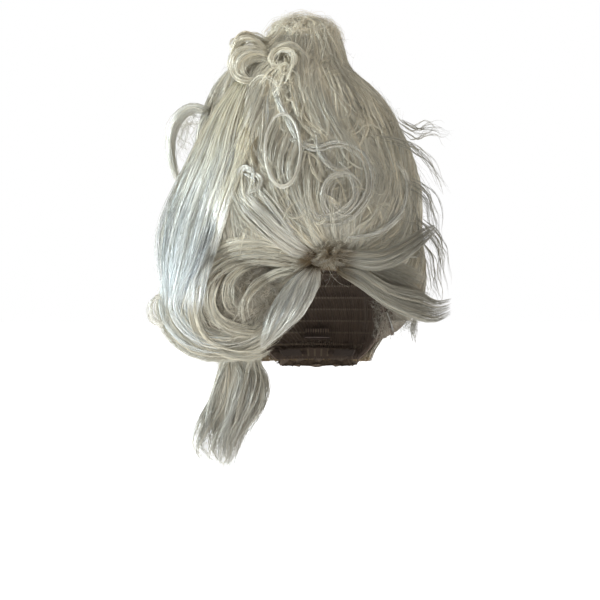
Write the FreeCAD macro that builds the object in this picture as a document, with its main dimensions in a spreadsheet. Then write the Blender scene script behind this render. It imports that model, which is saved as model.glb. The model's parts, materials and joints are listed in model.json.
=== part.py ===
"""A tall costume wig: an elastic net cap with its bands, tabs, straps and clips, a wire cage that
holds the updo up, and the hair as separately wefted sections, curls, locks and a hanging tail.

Millimetres. +Z is up, the wearer looks along -Y, and the wearer's left side is at +X. The origin is the
middle of the head that the cap holds, level with the tops of the ears."""

import FreeCAD, Part
import Sketcher
import math
import os

from FreeCAD import Matrix, Placement, Rotation, Vector

# Driving dimensions. Each one becomes a cell of the sheet, and the features are bound to the cells.
SIZES = {
    # head form inside the cap: about 552 mm round
    "head_half_width": 77.0,
    "head_half_length": 98.0,
    "head_half_height": 96.0,
    # cap layers, measured outwards from the head form
    "net_thick": 1.2,
    "band_in": 1.3,
    "band_out": 2.8,
    "tab_out": 2.2,
    "stay_in": 2.3,
    "stay_out": 3.1,
    "weft_in": 1.3,
    "weft_out": 3.3,
    "hair_in": 3.7,
    # rim of the cap in side view, from the forehead back over the ear and down to the nape
    "brow_y": -62.0,
    "brow_z": 50.0,
    "temple_y": -38.0,
    "ear_z": 8.0,
    "ear_back_y": 14.0,
    "nape_y": 58.0,
    "nape_z": -52.0,
    "band_rise": 12.0,
    "band_shift": 6.5,
    "weft_rise": 15.0,
    "weft_height": 2.0,
    "weft_pitch": 14.0,
    "weft_first": -36.0,
    # ear tabs and the bendable stay on each
    "tab_front_y": -35.0,
    "tab_back_y": -15.0,
    "tab_tip_z": -22.0,
    "tab_gap": 1.6,
    "tab_hinge_x": 77.5,
    "tab_hinge_z": 6.6,
    "stay_width": 5.0,
    # hair edge in side view
    "hairline_y": -70.0,
    "hairline_z": 54.0,
    "sideburn_y": -56.0,
    "temple_hair_z": 24.0,
    "ear_hair_y": -5.0,
    "side_hair_z": -8.0,
    "nape_hair_y": 35.0,
    "nape_low_y": 64.0,
    "nape_low_z": -62.0,
    # nape adjuster: straps that slide round a ladder tape
    "adjust_y": 33.2,
    "adjust_low_z": -50.0,
    "adjust_high_z": -39.0,
    "adjust_low_r": 48.6,
    "adjust_high_r": 54.6,
    "tape_thick": 0.8,
    "strap_thick": 1.2,
    "strap_gap": 1.4,
    # snap clips
    "clip_length": 32.0,
    "clip_inset": 2.8,
    "clip_pin_r": 0.60,
    "clip_hole_r": 0.65,
    "clip_axis_y": 2.6,
    "clip_axis_z": 2.2,
    "clip_spine_r": 1.1,
    "tooth_length": 12.0,
    "tooth_pitch": 3.0,
    # wire cage inside the updo
    "cage_x": -14.0,
    "cage_low_z": 106.0,
    "cage_high_z": 262.0,
    "cage_low_r": 58.0,
    "cage_high_r": 26.0,
    "ring_wire_r": 1.25,
    "rib_wire_r": 0.9,
    # gaps
    "hair_gap": 0.5,
    # ties
    "knot_tie_r": 21.0,
    "knot_tie_z": 291.9,
    "tie_cord_r": 2.6,
    "tail_tie_r": 13.6,
    # hanging tail
    "tail_x": -92.0,
    "tail_y": 30.0,
    "tail_sway_z": -17.0,
    "tail_swing_z": -47.0,
    "tail_ball_r": 14.0,
    "tail_space_r": 22.0,
    # hairpins
    "pin_wire_r": 0.7,
    "pin_half_gap": 3.0,
    "pin_leg": 24.0,
}

# The updo's outside: height, middle x, middle y, half width, half depth.
UPDO = [
    (-66.0, 0.0, 54.0, 50.0, 46.0),
    (-34.0, -4.0, 40.0, 78.0, 64.0),
    (0.0, -15.0, 20.0, 128.0, 92.0),
    (55.0, -27.0, 5.0, 146.0, 108.0),
    (100.0, -29.0, 0.0, 142.0, 120.0),
    (150.0, -21.0, 0.0, 129.0, 115.0),
    (215.0, -19.0, 0.0, 108.0, 95.0),
    (255.0, -21.0, 0.0, 90.0, 79.0),
    (278.0, -22.0, 0.0, 70.0, 62.0),
    (288.0, -21.0, 0.0, 52.0, 46.0),
]
# The hollow inside the updo that the cage stands in.
HOLLOW = [
    (56.0, -14.0, 0.0, 72.0, 72.0),
    (100.0, -16.0, 0.0, 82.0, 80.0),
    (150.0, -18.0, 0.0, 88.0, 80.0),
    (215.0, -18.0, 0.0, 70.0, 62.0),
    (270.0, -22.0, 0.0, 44.0, 40.0),
]
PANELS_MEET = Vector(-20, 0, 0)  # the four panels meet on an upright line through here
ROLL_MIDDLE, ROLL_HALF = (-98.0, -62.0, 16.0), (69.0, 56.0, 59.0)
KNOT_MIDDLE, KNOT_HALF = (-17.0, 0.0, 319.0), (40.0, 36.0, 21.0)
# Middle, half width, half height, cord radius, level way and upward way of the loop on the front.
FRONT_LOOP = ((-39.0, -111.0, 180.0), 18.0, 44.0, 2.6, (1.0, 0.0, 0.0), (0.0, 0.31, 1.0))
# Locks of hair. Each has its stations (x, y, z, half width, half thickness) and the way it is broad.
LOCKS = {
    "forelock": (
        [
            (-12.0, -116.0, 50.0, 13.0, 5.0),
            (-22.0, -126.0, 28.0, 16.0, 6.0),
            (-36.0, -130.0, 4.0, 15.0, 6.0),
            (-52.0, -126.0, -18.0, 11.0, 5.0),
            (-66.0, -119.0, -33.0, 5.0, 3.0),
        ],
        (1.0, -0.2, 0.8),
    ),
    "wing_upper": (
        [
            (26.0, -117.0, 68.0, 5.0, 3.0),
            (46.0, -119.0, 61.5, 8.0, 4.0),
            (77.0, -112.0, 65.0, 9.0, 5.0),
            (104.0, -96.0, 81.0, 8.0, 4.0),
            (123.0, -80.0, 94.0, 6.0, 3.0),
            (131.0, -70.0, 100.0, 2.0, 1.5),
        ],
        (0.0, 0.0, 1.0),
    ),
    "wing_lower": (
        [
            (24.0, -117.0, 47.0, 5.0, 3.0),
            (52.0, -116.0, 37.0, 8.0, 4.0),
            (85.0, -104.0, 19.0, 11.0, 5.0),
            (118.0, -86.0, 9.0, 13.0, 4.0),
            (132.0, -76.0, 6.0, 11.0, 3.0),
            (148.0, -64.0, 16.0, 3.0, 1.5),
        ],
        (0.0, 0.0, 1.0),
    ),
    "side_loop": (
        [
            (-126.0, -26.0, 230.0, 6.0, 4.0),
            (-141.0, -27.0, 234.0, 7.0, 4.0),
            (-156.0, -28.0, 226.0, 7.0, 4.0),
            (-164.0, -28.0, 208.0, 6.0, 4.0),
            (-166.0, -28.0, 188.0, 5.0, 4.0),
            (-163.0, -28.0, 168.0, 5.0, 3.0),
            (-157.0, -27.0, 152.0, 4.0, 3.0),
        ],
        (0.0, 1.0, 0.0),
    ),
    "sweep_lock": (
        [
            (-14.0, -116.0, 66.0, 5.0, 3.0),
            (-38.0, -123.0, 84.0, 9.0, 4.0),
            (-66.0, -124.0, 108.0, 10.0, 4.0),
            (-86.0, -112.0, 130.0, 7.0, 3.0),
            (-94.0, -104.0, 140.0, 2.0, 1.5),
        ],
        (1.0, 0.0, 1.0),
    ),
    "long_sweep": (
        [
            (-88.0, -56.0, 262.0, 7.0, 3.0),
            (-104.0, -68.0, 222.0, 14.0, 4.0),
            (-117.0, -80.0, 176.0, 18.0, 4.0),
            (-134.0, -84.0, 128.0, 22.0, 5.0),
            (-146.0, -94.0, 84.0, 22.0, 5.0),
            (-154.0, -104.0, 42.0, 14.0, 5.0),
            (-162.0, -98.0, 4.0, 5.0, 3.0),
        ],
        (1.0, -0.6, 0.1),
    ),
}
# Curled rings of hair: x, y, z, ring radius, cord radius and the way the ring faces.
SWIRL_CURLS = [
    (-80.0, -111.0, 154.0, 10.0, 2.5, (-0.5, -1.0, 0.1)),
    (-22.0, -125.5, 118.0, 13.0, 2.5, (0.0, -1.0, 0.1)),
    (28.0, -119.0, 132.0, 26.0, 3.0, (0.3, -1.0, 0.1)),
]
CROWN_CURLS = [
    (-80.0, -34.0, 299.0, 14.0, 5.5, (0.2, -1.0, 0.3)),
    (-66.0, -62.0, 274.0, 14.0, 5.5, (-0.3, -1.0, 0.5)),
    (-34.0, -66.0, 282.0, 13.0, 5.5, (0.1, -1.0, 0.6)),
    (-74.0, 34.0, 290.0, 15.0, 6.0, (-0.8, 0.8, 0.6)),
    (-38.0, 64.0, 285.0, 12.0, 5.0, (-0.3, 1.0, 0.5)),
    (14.0, 62.0, 284.0, 15.0, 6.0, (0.2, 1.0, 0.5)),
]
# Hairpins: x, y, z of the bend and the way the legs point.
HAIRPINS = [
    (-12.0, -84.0, 248.0, (0.0, 1.0, -0.4)),
    (-116.0, 10.0, 244.0, (1.0, 0.0, -0.3)),
    (74.0, 6.0, 248.0, (-1.0, 0.0, -0.3)),
    (-14.0, 84.0, 248.0, (0.0, -1.0, -0.3)),
    (60.0, 100.0, 128.0, (-0.5, -1.0, 0.1)),
    (-70.0, 114.0, 120.0, (0.3, -1.0, 0.1)),
]
for stack, stations in (("updo", UPDO), ("hollow", HOLLOW)):
    for index, station in enumerate(stations):
        for key, number in zip(("z", "mid_x", "mid_y", "wide", "deep"), station):
            SIZES[f"{stack}{index}_{key}"] = number

FAR = 420.0  # reach of a cutting shape past the wig

doc = FreeCAD.newDocument("costume_wig")
sizes = doc.addObject("Spreadsheet::Sheet", "sizes")
for row, (alias, number) in enumerate(SIZES.items(), start=1):
    sizes.set(f"A{row}", alias)
    sizes.set(f"B{row}", str(number))
    sizes.setAlias(f"B{row}", alias)
doc.recompute()

nodes = {}  # the pieces to write, by name


def node(name, feature):
    """Marks a feature as one finished piece of the wig."""
    feature.Label = name
    nodes[name] = feature
    return feature


def bind(feature, **rules):
    """Ties properties to cells. A double underscore in a keyword stands for a dot."""
    for path, rule in rules.items():
        feature.setExpression(path.replace("__", "."), rule)
    return feature


def add(kind, name):
    return doc.addObject(kind, name)


def cut(name, base, *tools):
    """base without the tools."""
    for index, tool in enumerate(tools):
        last = index == len(tools) - 1
        step = add("Part::Cut", name if last else f"{name}_step{index}")
        step.Base, step.Tool = base, tool
        base = step
    return base


def common(name, *shapes):
    step = add("Part::MultiCommon", name)
    step.Shapes = list(shapes)
    return step


def together(name, shapes):
    """Separate solids kept in one piece, such as a set of identical fasteners."""
    group = add("Part::Compound", name)
    group.Links = list(shapes)
    return group


def fuse(name, shapes):
    step = add("Part::MultiFuse", name)
    step.Shapes = list(shapes)
    return step


def frame(origin, across, up):
    """A placement whose local X lies along across and whose local Z lies nearest up."""
    x = Vector(across).normalize()
    z = (Vector(up) - x * x.dot(Vector(up))).normalize()
    y = z.cross(x)
    turn = Matrix(x.x, y.x, z.x, 0, x.y, y.y, z.y, 0, x.z, y.z, z.z, 0, 0, 0, 0, 1)
    return Placement(Vector(origin), Rotation(turn))


# ---------------------------------------------------------------- head form and cutting regions


def head_layer(name, offset):
    """A solid ellipsoid that stands the given offset, a sheet rule, outside the head form."""
    form = add("Part::Ellipsoid", name)
    form.Angle1, form.Angle2, form.Angle3 = -90, 90, 360
    return bind(
        form,
        Radius1=f"sizes.head_half_height + {offset}",
        Radius2=f"sizes.head_half_width + {offset}",
        Radius3=f"sizes.head_half_length + {offset}",
    )


def layer(name, inner, outer):
    """The shell between two offsets from the head form."""
    return cut(name, head_layer(name + "_outer", outer), head_layer(name + "_inner", inner))


def region(name, corners, role="YZ_Plane"):
    """A prism through the whole wig from an outline in side view (y, z) or plan (x, y).

    A corner is a pair, and each half of it is a number or (cell, shift)."""
    body = add("PartDesign::Body", name)
    sketch = body.newObject("Sketcher::SketchObject", name + "_outline")
    plane = next(f for f in body.Origin.OriginFeatures if f.Role == role)
    sketch.AttachmentSupport = [(plane, "")]
    sketch.MapMode = "FlatFace"
    points = []
    for corner in corners:
        half = [SIZES[c[0]] + c[1] if isinstance(c, tuple) else c for c in corner]
        points.append(Vector(half[0], half[1], 0))
    for index, start in enumerate(points):
        sketch.addGeometry(Part.LineSegment(start, points[(index + 1) % len(points)]))
    count = len(points)
    for index in range(count):
        sketch.addConstraint(Sketcher.Constraint("Coincident", index, 2, (index + 1) % count, 1))
    for index, corner in enumerate(corners):
        for kind, part in zip(("DistanceX", "DistanceY"), corner):
            here = points[index].x if kind == "DistanceX" else points[index].y
            made = sketch.addConstraint(Sketcher.Constraint(kind, -1, 1, index, 1, here))
            if isinstance(part, tuple):
                sketch.setExpression(f"Constraints[{made}]", f"(sizes.{part[0]} + {part[1]}) * 1 mm")
    pad = body.newObject("PartDesign::Pad", name + "_pad")
    pad.Profile = sketch
    pad.SideType = "Symmetric"
    pad.Length = 2 * FAR
    body.Tip = pad
    return body


def above_rim(name, shift, rise):
    """Everything over the cap's rim, with the rim moved back by shift and up by rise."""
    return region(
        name,
        [
            (-FAR, ("brow_z", rise)),
            (("brow_y", shift), ("brow_z", rise)),
            (("temple_y", shift), ("ear_z", rise)),
            (("ear_back_y", shift), ("ear_z", rise)),
            (("nape_y", shift), ("nape_z", rise)),
            (FAR, ("nape_z", rise)),
            (FAR, FAR),
            (-FAR, FAR),
        ],
    )


def above_hairline(name, grow):
    """Everything over the edge of the hair, with the edge moved out by grow."""
    return region(
        name,
        [
            (-FAR, ("hairline_z", -grow)),
            (("hairline_y", -grow), ("hairline_z", -grow)),
            (("sideburn_y", -grow), ("temple_hair_z", -grow)),
            (("ear_hair_y", -grow), ("temple_hair_z", -grow)),
            (("ear_hair_y", 3 - grow), ("side_hair_z", -grow)),
            (("nape_hair_y", -grow), ("side_hair_z", -grow)),
            (("nape_low_y", -grow), ("nape_low_z", -grow)),
            (FAR, ("nape_low_z", -grow)),
            (FAR, FAR),
            (-FAR, FAR),
        ],
    )


def slab(name, low, high, span=2 * FAR):
    """A flat slab of space between two heights, each a sheet rule."""
    box = add("Part::Box", name)
    box.Length, box.Width = span, span
    return bind(
        box,
        Height=f"({high}) - ({low})",
        Placement__Base__x=f"{-span / 2}",
        Placement__Base__y=f"{-span / 2}",
        Placement__Base__z=low,
    )


# ---------------------------------------------------------------- cap


def make_cap():
    """Net crown, its front and nape bands, and the rows of weft sewn on it."""
    whole = above_rim("rim_region", 0, 0)
    over_band = above_rim("over_band_region", SIZES["band_shift"], SIZES["band_rise"])
    node("cap_net", common("cap_net", layer("net_layer", "0", "sizes.net_thick"), whole))

    strip = cut("band_strip", whole, over_band)
    bands = common("bands_whole", layer("band_layer", "sizes.band_in", "sizes.band_out"), strip)
    ahead = region("ahead_of_ear", [(-FAR, -FAR), (-11, -FAR), (-11, FAR), (-FAR, FAR)])
    behind = region("behind_ear", [(-10, -FAR), (FAR, -FAR), (FAR, FAR), (-10, FAR)])
    node("front_band", common("front_band", bands, ahead))
    node("nape_band", common("nape_band", bands, behind))

    for_wefts = above_rim("weft_region", SIZES["band_shift"] + 2, SIZES["weft_rise"])
    shell = common("weft_shell", layer("weft_layer", "sizes.weft_in", "sizes.weft_out"), for_wefts)
    rows = 9
    slabs = [
        slab(
            f"weft_slab{k}",
            f"sizes.weft_first + {k} * sizes.weft_pitch",
            f"sizes.weft_first + {k} * sizes.weft_pitch + sizes.weft_height",
        )
        for k in range(rows)
    ]
    node("weft_rows", common("weft_rows", shell, together("weft_slabs", slabs)))


def make_ear_tab(side, sign, spring_out):
    """One tab that hangs from the rim ahead of an ear, and the bendable stay sewn to its outside.
    The tab stands out from the head by the angle spring_out."""
    top = ("ear_z", -SIZES["tab_gap"])
    mid = (SIZES["tab_front_y"] + SIZES["tab_back_y"]) / 2
    tip = ("tab_tip_z", 0)
    outline = region(
        f"tab_outline_{side}",
        [
            (("tab_front_y", 0), top),
            (("tab_front_y", 0), ("tab_tip_z", 8)),
            (("tab_front_y", 6), tip),
            (("tab_back_y", -6), tip),
            (("tab_back_y", 0), ("tab_tip_z", 8)),
            (("tab_back_y", 0), top),
        ],
    )
    stay_outline = region(
        f"stay_outline_{side}",
        [
            (mid - SIZES["stay_width"] / 2, ("ear_z", -4)),
            (mid - SIZES["stay_width"] / 2, ("tab_tip_z", 4)),
            (mid + SIZES["stay_width"] / 2, ("tab_tip_z", 4)),
            (mid + SIZES["stay_width"] / 2, ("ear_z", -4)),
        ],
    )
    half = add("Part::Box", f"half_space_{side}")
    half.Length, half.Width, half.Height = FAR, 2 * FAR, 2 * FAR
    half.Placement.Base = Vector(0 if sign > 0 else -FAR, -FAR, -FAR)
    cloth = layer(f"tab_layer_{side}", "0.2", "sizes.tab_out")
    wire = layer(f"stay_layer_{side}", "sizes.stay_in", "sizes.stay_out")
    tab = node(f"ear_tab_{side}", common(f"ear_tab_{side}", cloth, outline, half))
    stay = node(f"ear_stay_{side}", common(f"ear_stay_{side}", wire, stay_outline, half))
    hinge = Vector(sign * SIZES["tab_hinge_x"], 0, SIZES["tab_hinge_z"])
    turn = Rotation(Vector(0, 1, 0), -sign * spring_out)
    for piece in (tab, stay):
        piece.Placement = Placement(hinge - turn.multVec(hinge), turn)


# ---------------------------------------------------------------- nape adjuster


def arc_strip(name, inset, thick, low, high, start, sweep):
    """A strip that curves round the nape, leaning with the cap. inset is measured inwards from the
    track's cone; low and high are shares of its height; start and sweep are angles from straight back."""
    body = add("PartDesign::Body", name)
    sketch = body.newObject("Sketcher::SketchObject", name + "_profile")
    plane = next(f for f in body.Origin.OriginFeatures if f.Role == "XZ_Plane")
    sketch.AttachmentSupport = [(plane, "")]
    sketch.MapMode = "FlatFace"
    count = 4
    corners = [(low, inset), (high, inset), (high, inset + thick), (low, inset + thick)]
    points = []
    for share, depth in corners:
        r = SIZES["adjust_low_r"] + share * (SIZES["adjust_high_r"] - SIZES["adjust_low_r"])
        z = SIZES["adjust_low_z"] + share * (SIZES["adjust_high_z"] - SIZES["adjust_low_z"])
        points.append(Vector(r - depth, z, 0))
    for index, start_point in enumerate(points):
        sketch.addGeometry(Part.LineSegment(start_point, points[(index + 1) % count]))
    for index in range(count):
        sketch.addConstraint(Sketcher.Constraint("Coincident", index, 2, (index + 1) % count, 1))
    for index, (share, depth) in enumerate(corners):
        radius = f"sizes.adjust_low_r + {share} * (sizes.adjust_high_r - sizes.adjust_low_r) - {depth}"
        height = f"sizes.adjust_low_z + {share} * (sizes.adjust_high_z - sizes.adjust_low_z)"
        places = (("DistanceX", points[index].x, radius), ("DistanceY", points[index].y, height))
        for kind, here, rule in places:
            made = sketch.addConstraint(Sketcher.Constraint(kind, -1, 1, index, 1, here))
            sketch.setExpression(f"Constraints[{made}]", f"({rule}) * 1 mm")
    turn = body.newObject("PartDesign::Revolution", name + "_turn")
    turn.Profile = sketch
    turn.ReferenceAxis = (next(f for f in body.Origin.OriginFeatures if f.Role == "Z_Axis"), [""])
    turn.Angle = sweep
    turn.Midplane = True
    body.Tip = turn
    middle = 90 - start - sweep / 2 if sweep else 90
    body.Placement = Placement(Vector(0, 0, 0), Rotation(Vector(0, 0, 1), middle))
    return bind(body, Placement__Base__y="sizes.adjust_y")


def make_adjuster():
    """A ladder tape across the nape with loops along it, and from each side an elastic strap that
    slides round it and hooks on a loop."""
    tape = arc_strip("ladder_tape_strip", 0.0, SIZES["tape_thick"], 0.0, 1.0, -46, 92)
    node("ladder_tape", tape)
    step = 9.0
    loops = [
        arc_strip(f"ladder_loop{k}", SIZES["tape_thick"] + 0.05, 0.5, 0.1, 0.9, -40.5 + k * step, 2.4)
        for k in range(9)
    ]
    node("ladder_loops", together("ladder_loops", loops))
    inset = SIZES["tape_thick"] + SIZES["strap_gap"]
    for side, sign in (("left", 1), ("right", -1)):
        # the +X side runs from 24 to 62 degrees off straight back, and the other side mirrors it
        start = 24 if sign > 0 else -62
        strap = arc_strip(f"strap_{side}", inset, SIZES["strap_thick"], 0.15, 0.85, start, 38)
        node(f"adjuster_strap_{side}", strap)
        lead = 15.4 if sign > 0 else -23.4
        plate = arc_strip(f"hook_plate_{side}", inset, 1.2, 0.3, 0.7, lead, 8)
        tongue_at = 15.4 if sign > 0 else -17.4
        tongue = arc_strip(f"hook_tongue_{side}", inset - 0.7, 0.75, 0.35, 0.65, tongue_at, 2)
        node(f"adjuster_hook_{side}", fuse(f"adjuster_hook_{side}", [plate, tongue]))


# ---------------------------------------------------------------- snap clips


def on_head(turn, height, inset):
    """A frame on the inside of the cap: local X runs level, local Z up the cap and local Y points
    into the head. turn is the angle from straight ahead, positive towards +X."""
    a, b, c = (SIZES[f"head_half_{k}"] for k in ("width", "length", "height"))
    ring = math.sqrt(1 - (height / c) ** 2)
    x = a * ring * math.sin(math.radians(turn))
    y = -b * ring * math.cos(math.radians(turn))
    out = Vector(x / a**2, y / b**2, height / c**2).normalize()
    level = Vector(-out.y, out.x, 0).normalize() if out.y < 0 or abs(out.x) > 0 else Vector(1, 0, 0)
    inward = out * -1
    up = level.cross(inward)
    if up.z < 0:
        level, up = level * -1, up * -1
    return frame(Vector(x, y, height) + inward * inset, level, up)


def block(name, low, high):
    box = add("Part::Box", name)
    box.Length, box.Width, box.Height = (h - l for l, h in zip(low, high))
    box.Placement.Base = Vector(*low)
    return box


def rod(name, radius, start, length, turn=Rotation(Vector(0, 1, 0), 90)):
    """A round bar, along +X unless turned."""
    bar = add("Part::Cylinder", name)
    bind(bar, Radius=radius)
    bar.Height = length
    bar.Placement = Placement(Vector(*start), turn)
    return bar


CLIPS = (("front", 0, 66.0), ("left", 62, 36.0), ("right", -62, 36.0), ("nape", 180, -30.0))


def make_clips():
    """Four snap combs sewn inside the cap: a base bar with two lugs, a toothed comb that turns on pins
    between the lugs, and a soft strip that the teeth close on."""
    bases, grips = [], []
    half = SIZES["clip_length"] / 2
    lug = 1.4
    axis_y, axis_z = SIZES["clip_axis_y"], SIZES["clip_axis_z"]
    for place, turn, height in CLIPS:
        where = on_head(turn, height, SIZES["clip_inset"])
        bar = block(f"clip_bar_{place}", (-half, 0, 0), (half, 0.9, 4.4))
        ears = [
            block(f"clip_ear_{place}{k}", (x, 0.2, 0), (x + lug, 4.2, 4.4))
            for k, x in enumerate((-half, half - lug))
        ]
        hole = rod(f"clip_hole_{place}", "sizes.clip_hole_r", (-half - 1, axis_y, axis_z), 2 * half + 2)
        base = cut(f"clip_base_{place}", fuse(f"clip_frame_{place}", [bar, *ears]), hole)
        base.Placement = where
        bases.append(base)

        grip = block(f"clip_grip_{place}", (-half + 2, 0.3, 9.0), (half - 2, 1.3, 13.0))
        grip.Placement = where.multiply(grip.Placement)
        grips.append(grip)

        spine = rod(
            f"clip_spine_{place}",
            "sizes.clip_spine_r",
            (-half + lug + 0.3, axis_y, axis_z),
            2 * (half - lug - 0.3),
        )
        pins = rod(f"clip_pins_{place}", "sizes.clip_pin_r", (-half + 0.1, axis_y, axis_z), 2 * half - 0.2)
        teeth = [
            block(
                f"clip_tooth_{place}{k}",
                (k * SIZES["tooth_pitch"] - 0.6, axis_y - 0.4, axis_z),
                (k * SIZES["tooth_pitch"] + 0.6, axis_y + 0.4, axis_z + SIZES["tooth_length"]),
            )
            for k in range(-4, 5)
        ]
        comb = fuse(f"clip_comb_{place}", [spine, pins, *teeth])
        comb.Placement = where
        node(f"clip_comb_{place}", comb)
    node("clip_bases", together("clip_bases", bases))
    node("clip_grips", together("clip_grips", grips))


# ---------------------------------------------------------------- cage


def make_cage():
    """Four round wire rings, six ribs tied inside them, and a crinoline sleeve over the outside."""
    low, high = SIZES["cage_low_z"], SIZES["cage_high_z"]
    rings = []
    for k in range(4):
        ring = add("Part::Torus", f"cage_ring{k}")
        share = k / 3
        bind(
            ring,
            Radius1=f"sizes.cage_low_r + {share} * (sizes.cage_high_r - sizes.cage_low_r)",
            Radius2="sizes.ring_wire_r",
            Placement__Base__x="sizes.cage_x",
            Placement__Base__z=f"sizes.cage_low_z + {share} * (sizes.cage_high_z - sizes.cage_low_z)",
        )
        rings.append(ring)
    node("cage_rings", together("cage_rings", rings))

    inside = SIZES["ring_wire_r"] + SIZES["rib_wire_r"] + 0.3
    ribs = []
    for k in range(6):
        angle = math.radians(30 + 60 * k)
        way = Vector(math.cos(angle), math.sin(angle), 0)
        foot = way * (SIZES["cage_low_r"] - inside) + Vector(SIZES["cage_x"], 0, low)
        head = way * (SIZES["cage_high_r"] - inside) + Vector(SIZES["cage_x"], 0, high)
        along = head - foot
        rib = add("Part::Cylinder", f"cage_rib{k}")
        bind(rib, Radius="sizes.rib_wire_r")
        rib.Height = along.Length
        rib.Placement = Placement(foot, Rotation(Vector(0, 0, 1), along))
        ribs.append(rib)
    node("cage_ribs", together("cage_ribs", ribs))

    clear = SIZES["ring_wire_r"] + 0.8
    skins = []
    for name, extra in (("cage_sleeve_outer", clear + 0.7), ("cage_sleeve_inner", clear)):
        cone = add("Part::Cone", name)
        bind(
            cone,
            Radius1=f"sizes.cage_low_r + {extra}",
            Radius2=f"sizes.cage_high_r + {extra}",
            Height="sizes.cage_high_z - sizes.cage_low_z",
            Placement__Base__x="sizes.cage_x",
            Placement__Base__z="sizes.cage_low_z",
        )
        skins.append(cone)
    node("cage_sleeve", cut("cage_sleeve", *skins))

    # six legs stand the lowest ring on the crown of the net
    legs = []
    for k in range(6):
        angle = math.radians(30 + 60 * k)
        radius = SIZES["cage_low_r"] - inside
        x = SIZES["cage_x"] + radius * math.cos(angle)
        y = radius * math.sin(angle)
        a, b, c = (SIZES[f"head_half_{n}"] + SIZES["weft_out"] + 0.6 for n in ("width", "length", "height"))
        foot_z = c * math.sqrt(max(0.0, 1 - (x / a) ** 2 - (y / b) ** 2)) + 0.9
        leg = add("Part::Cylinder", f"cage_leg{k}")
        bind(leg, Radius="sizes.rib_wire_r")
        leg.Height = low - 2.4 - foot_z
        leg.Placement.Base = Vector(x, y, foot_z)
        legs.append(leg)
    node("cage_legs", together("cage_legs", legs))


# ---------------------------------------------------------------- hair


def stack_loft(name, stack, count, grow):
    """A smooth closed form through level ellipses."""
    rings = []
    for k in range(count):
        ring = add("Part::Ellipse", f"{name}_ring{k}")
        bind(
            ring,
            MajorRadius=f"sizes.{stack}{k}_wide + {grow}",
            MinorRadius=f"sizes.{stack}{k}_deep + {grow}",
            Placement__Base__x=f"sizes.{stack}{k}_mid_x",
            Placement__Base__y=f"sizes.{stack}{k}_mid_y",
            Placement__Base__z=f"sizes.{stack}{k}_z",
        )
        rings.append(ring)
    loft = add("Part::Loft", name)
    loft.Sections = rings
    loft.Solid = True
    return loft


def ellipsoid(name, middle, half):
    """An ellipsoid whose seam is on its -X side, clear of the head form's seam at +X."""
    form = add("Part::Ellipsoid", name)
    form.Angle1, form.Angle2, form.Angle3 = -90, 90, 360
    form.Radius2, form.Radius3, form.Radius1 = half
    form.Placement = Placement(Vector(*middle), Rotation(Vector(0, 0, 1), 180))
    return form


def lock(name, stations, wide):
    """A tapering bundle of hair. Each station is x, y, z, half width and half thickness, and wide is
    the way the bundle is broad. The bundle's sections stand square to its path."""
    rings = []
    points = [Vector(*s[:3]) for s in stations]
    for k, (x, y, z, half_wide, half_thick) in enumerate(stations):
        along = points[min(k + 1, len(points) - 1)] - points[max(k - 1, 0)]
        ring = add("Part::Ellipse", f"{name}_ring{k}")
        ring.MajorRadius, ring.MinorRadius = half_wide, half_thick
        across = Vector(*wide) - along * (Vector(*wide).dot(along) / along.dot(along))
        ring.Placement = frame((x, y, z), across, along)
        rings.append(ring)
    loft = add("Part::Loft", name)
    loft.Sections = rings
    loft.Solid = True
    return loft


def loop(name, middle, half_wide, half_tall, cord, across, up):
    """A closed loop of hair: a round cord along an ellipse."""
    path = add("Part::Ellipse", name + "_path")
    tall = half_tall >= half_wide
    path.MajorRadius, path.MinorRadius = (half_tall, half_wide) if tall else (half_wide, half_tall)
    side, top = (Vector(*up), Vector(*across)) if tall else (Vector(*across), Vector(*up))
    path.Placement = frame(middle, side, side.cross(top))
    section = add("Part::Circle", name + "_section")
    section.Radius = cord
    start = path.Placement.multVec(Vector(path.MajorRadius.Value, 0, 0))
    section.Placement = frame(start, path.Placement.Rotation.multVec(Vector(1, 0, 0)),
                              path.Placement.Rotation.multVec(Vector(0, 1, 0)))
    sweep = add("Part::Sweep", name)
    sweep.Sections = [section]
    sweep.Spine = (path, ["Edge1"])
    sweep.Solid = True
    sweep.Frenet = True
    return sweep


def hang(name):
    """The uncut form of one lock of the list."""
    stations, wide = LOCKS[name]
    return lock(name + "_form", stations, wide)


def rings(prefix, name, places, *clear):
    """A set of small curled rings of hair, each cut clear of the forms given."""
    made = []
    for index, (x, y, z, big, cord, face) in enumerate(places):
        ring = add("Part::Torus", f"{prefix}_ring{index}")
        ring.Radius1, ring.Radius2 = big, cord
        ring.Placement = frame((x, y, z), (0, 0, 1), face)
        made.append(cut(f"{prefix}{index}", ring, *clear))
    node(name, together(name, made))


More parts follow.
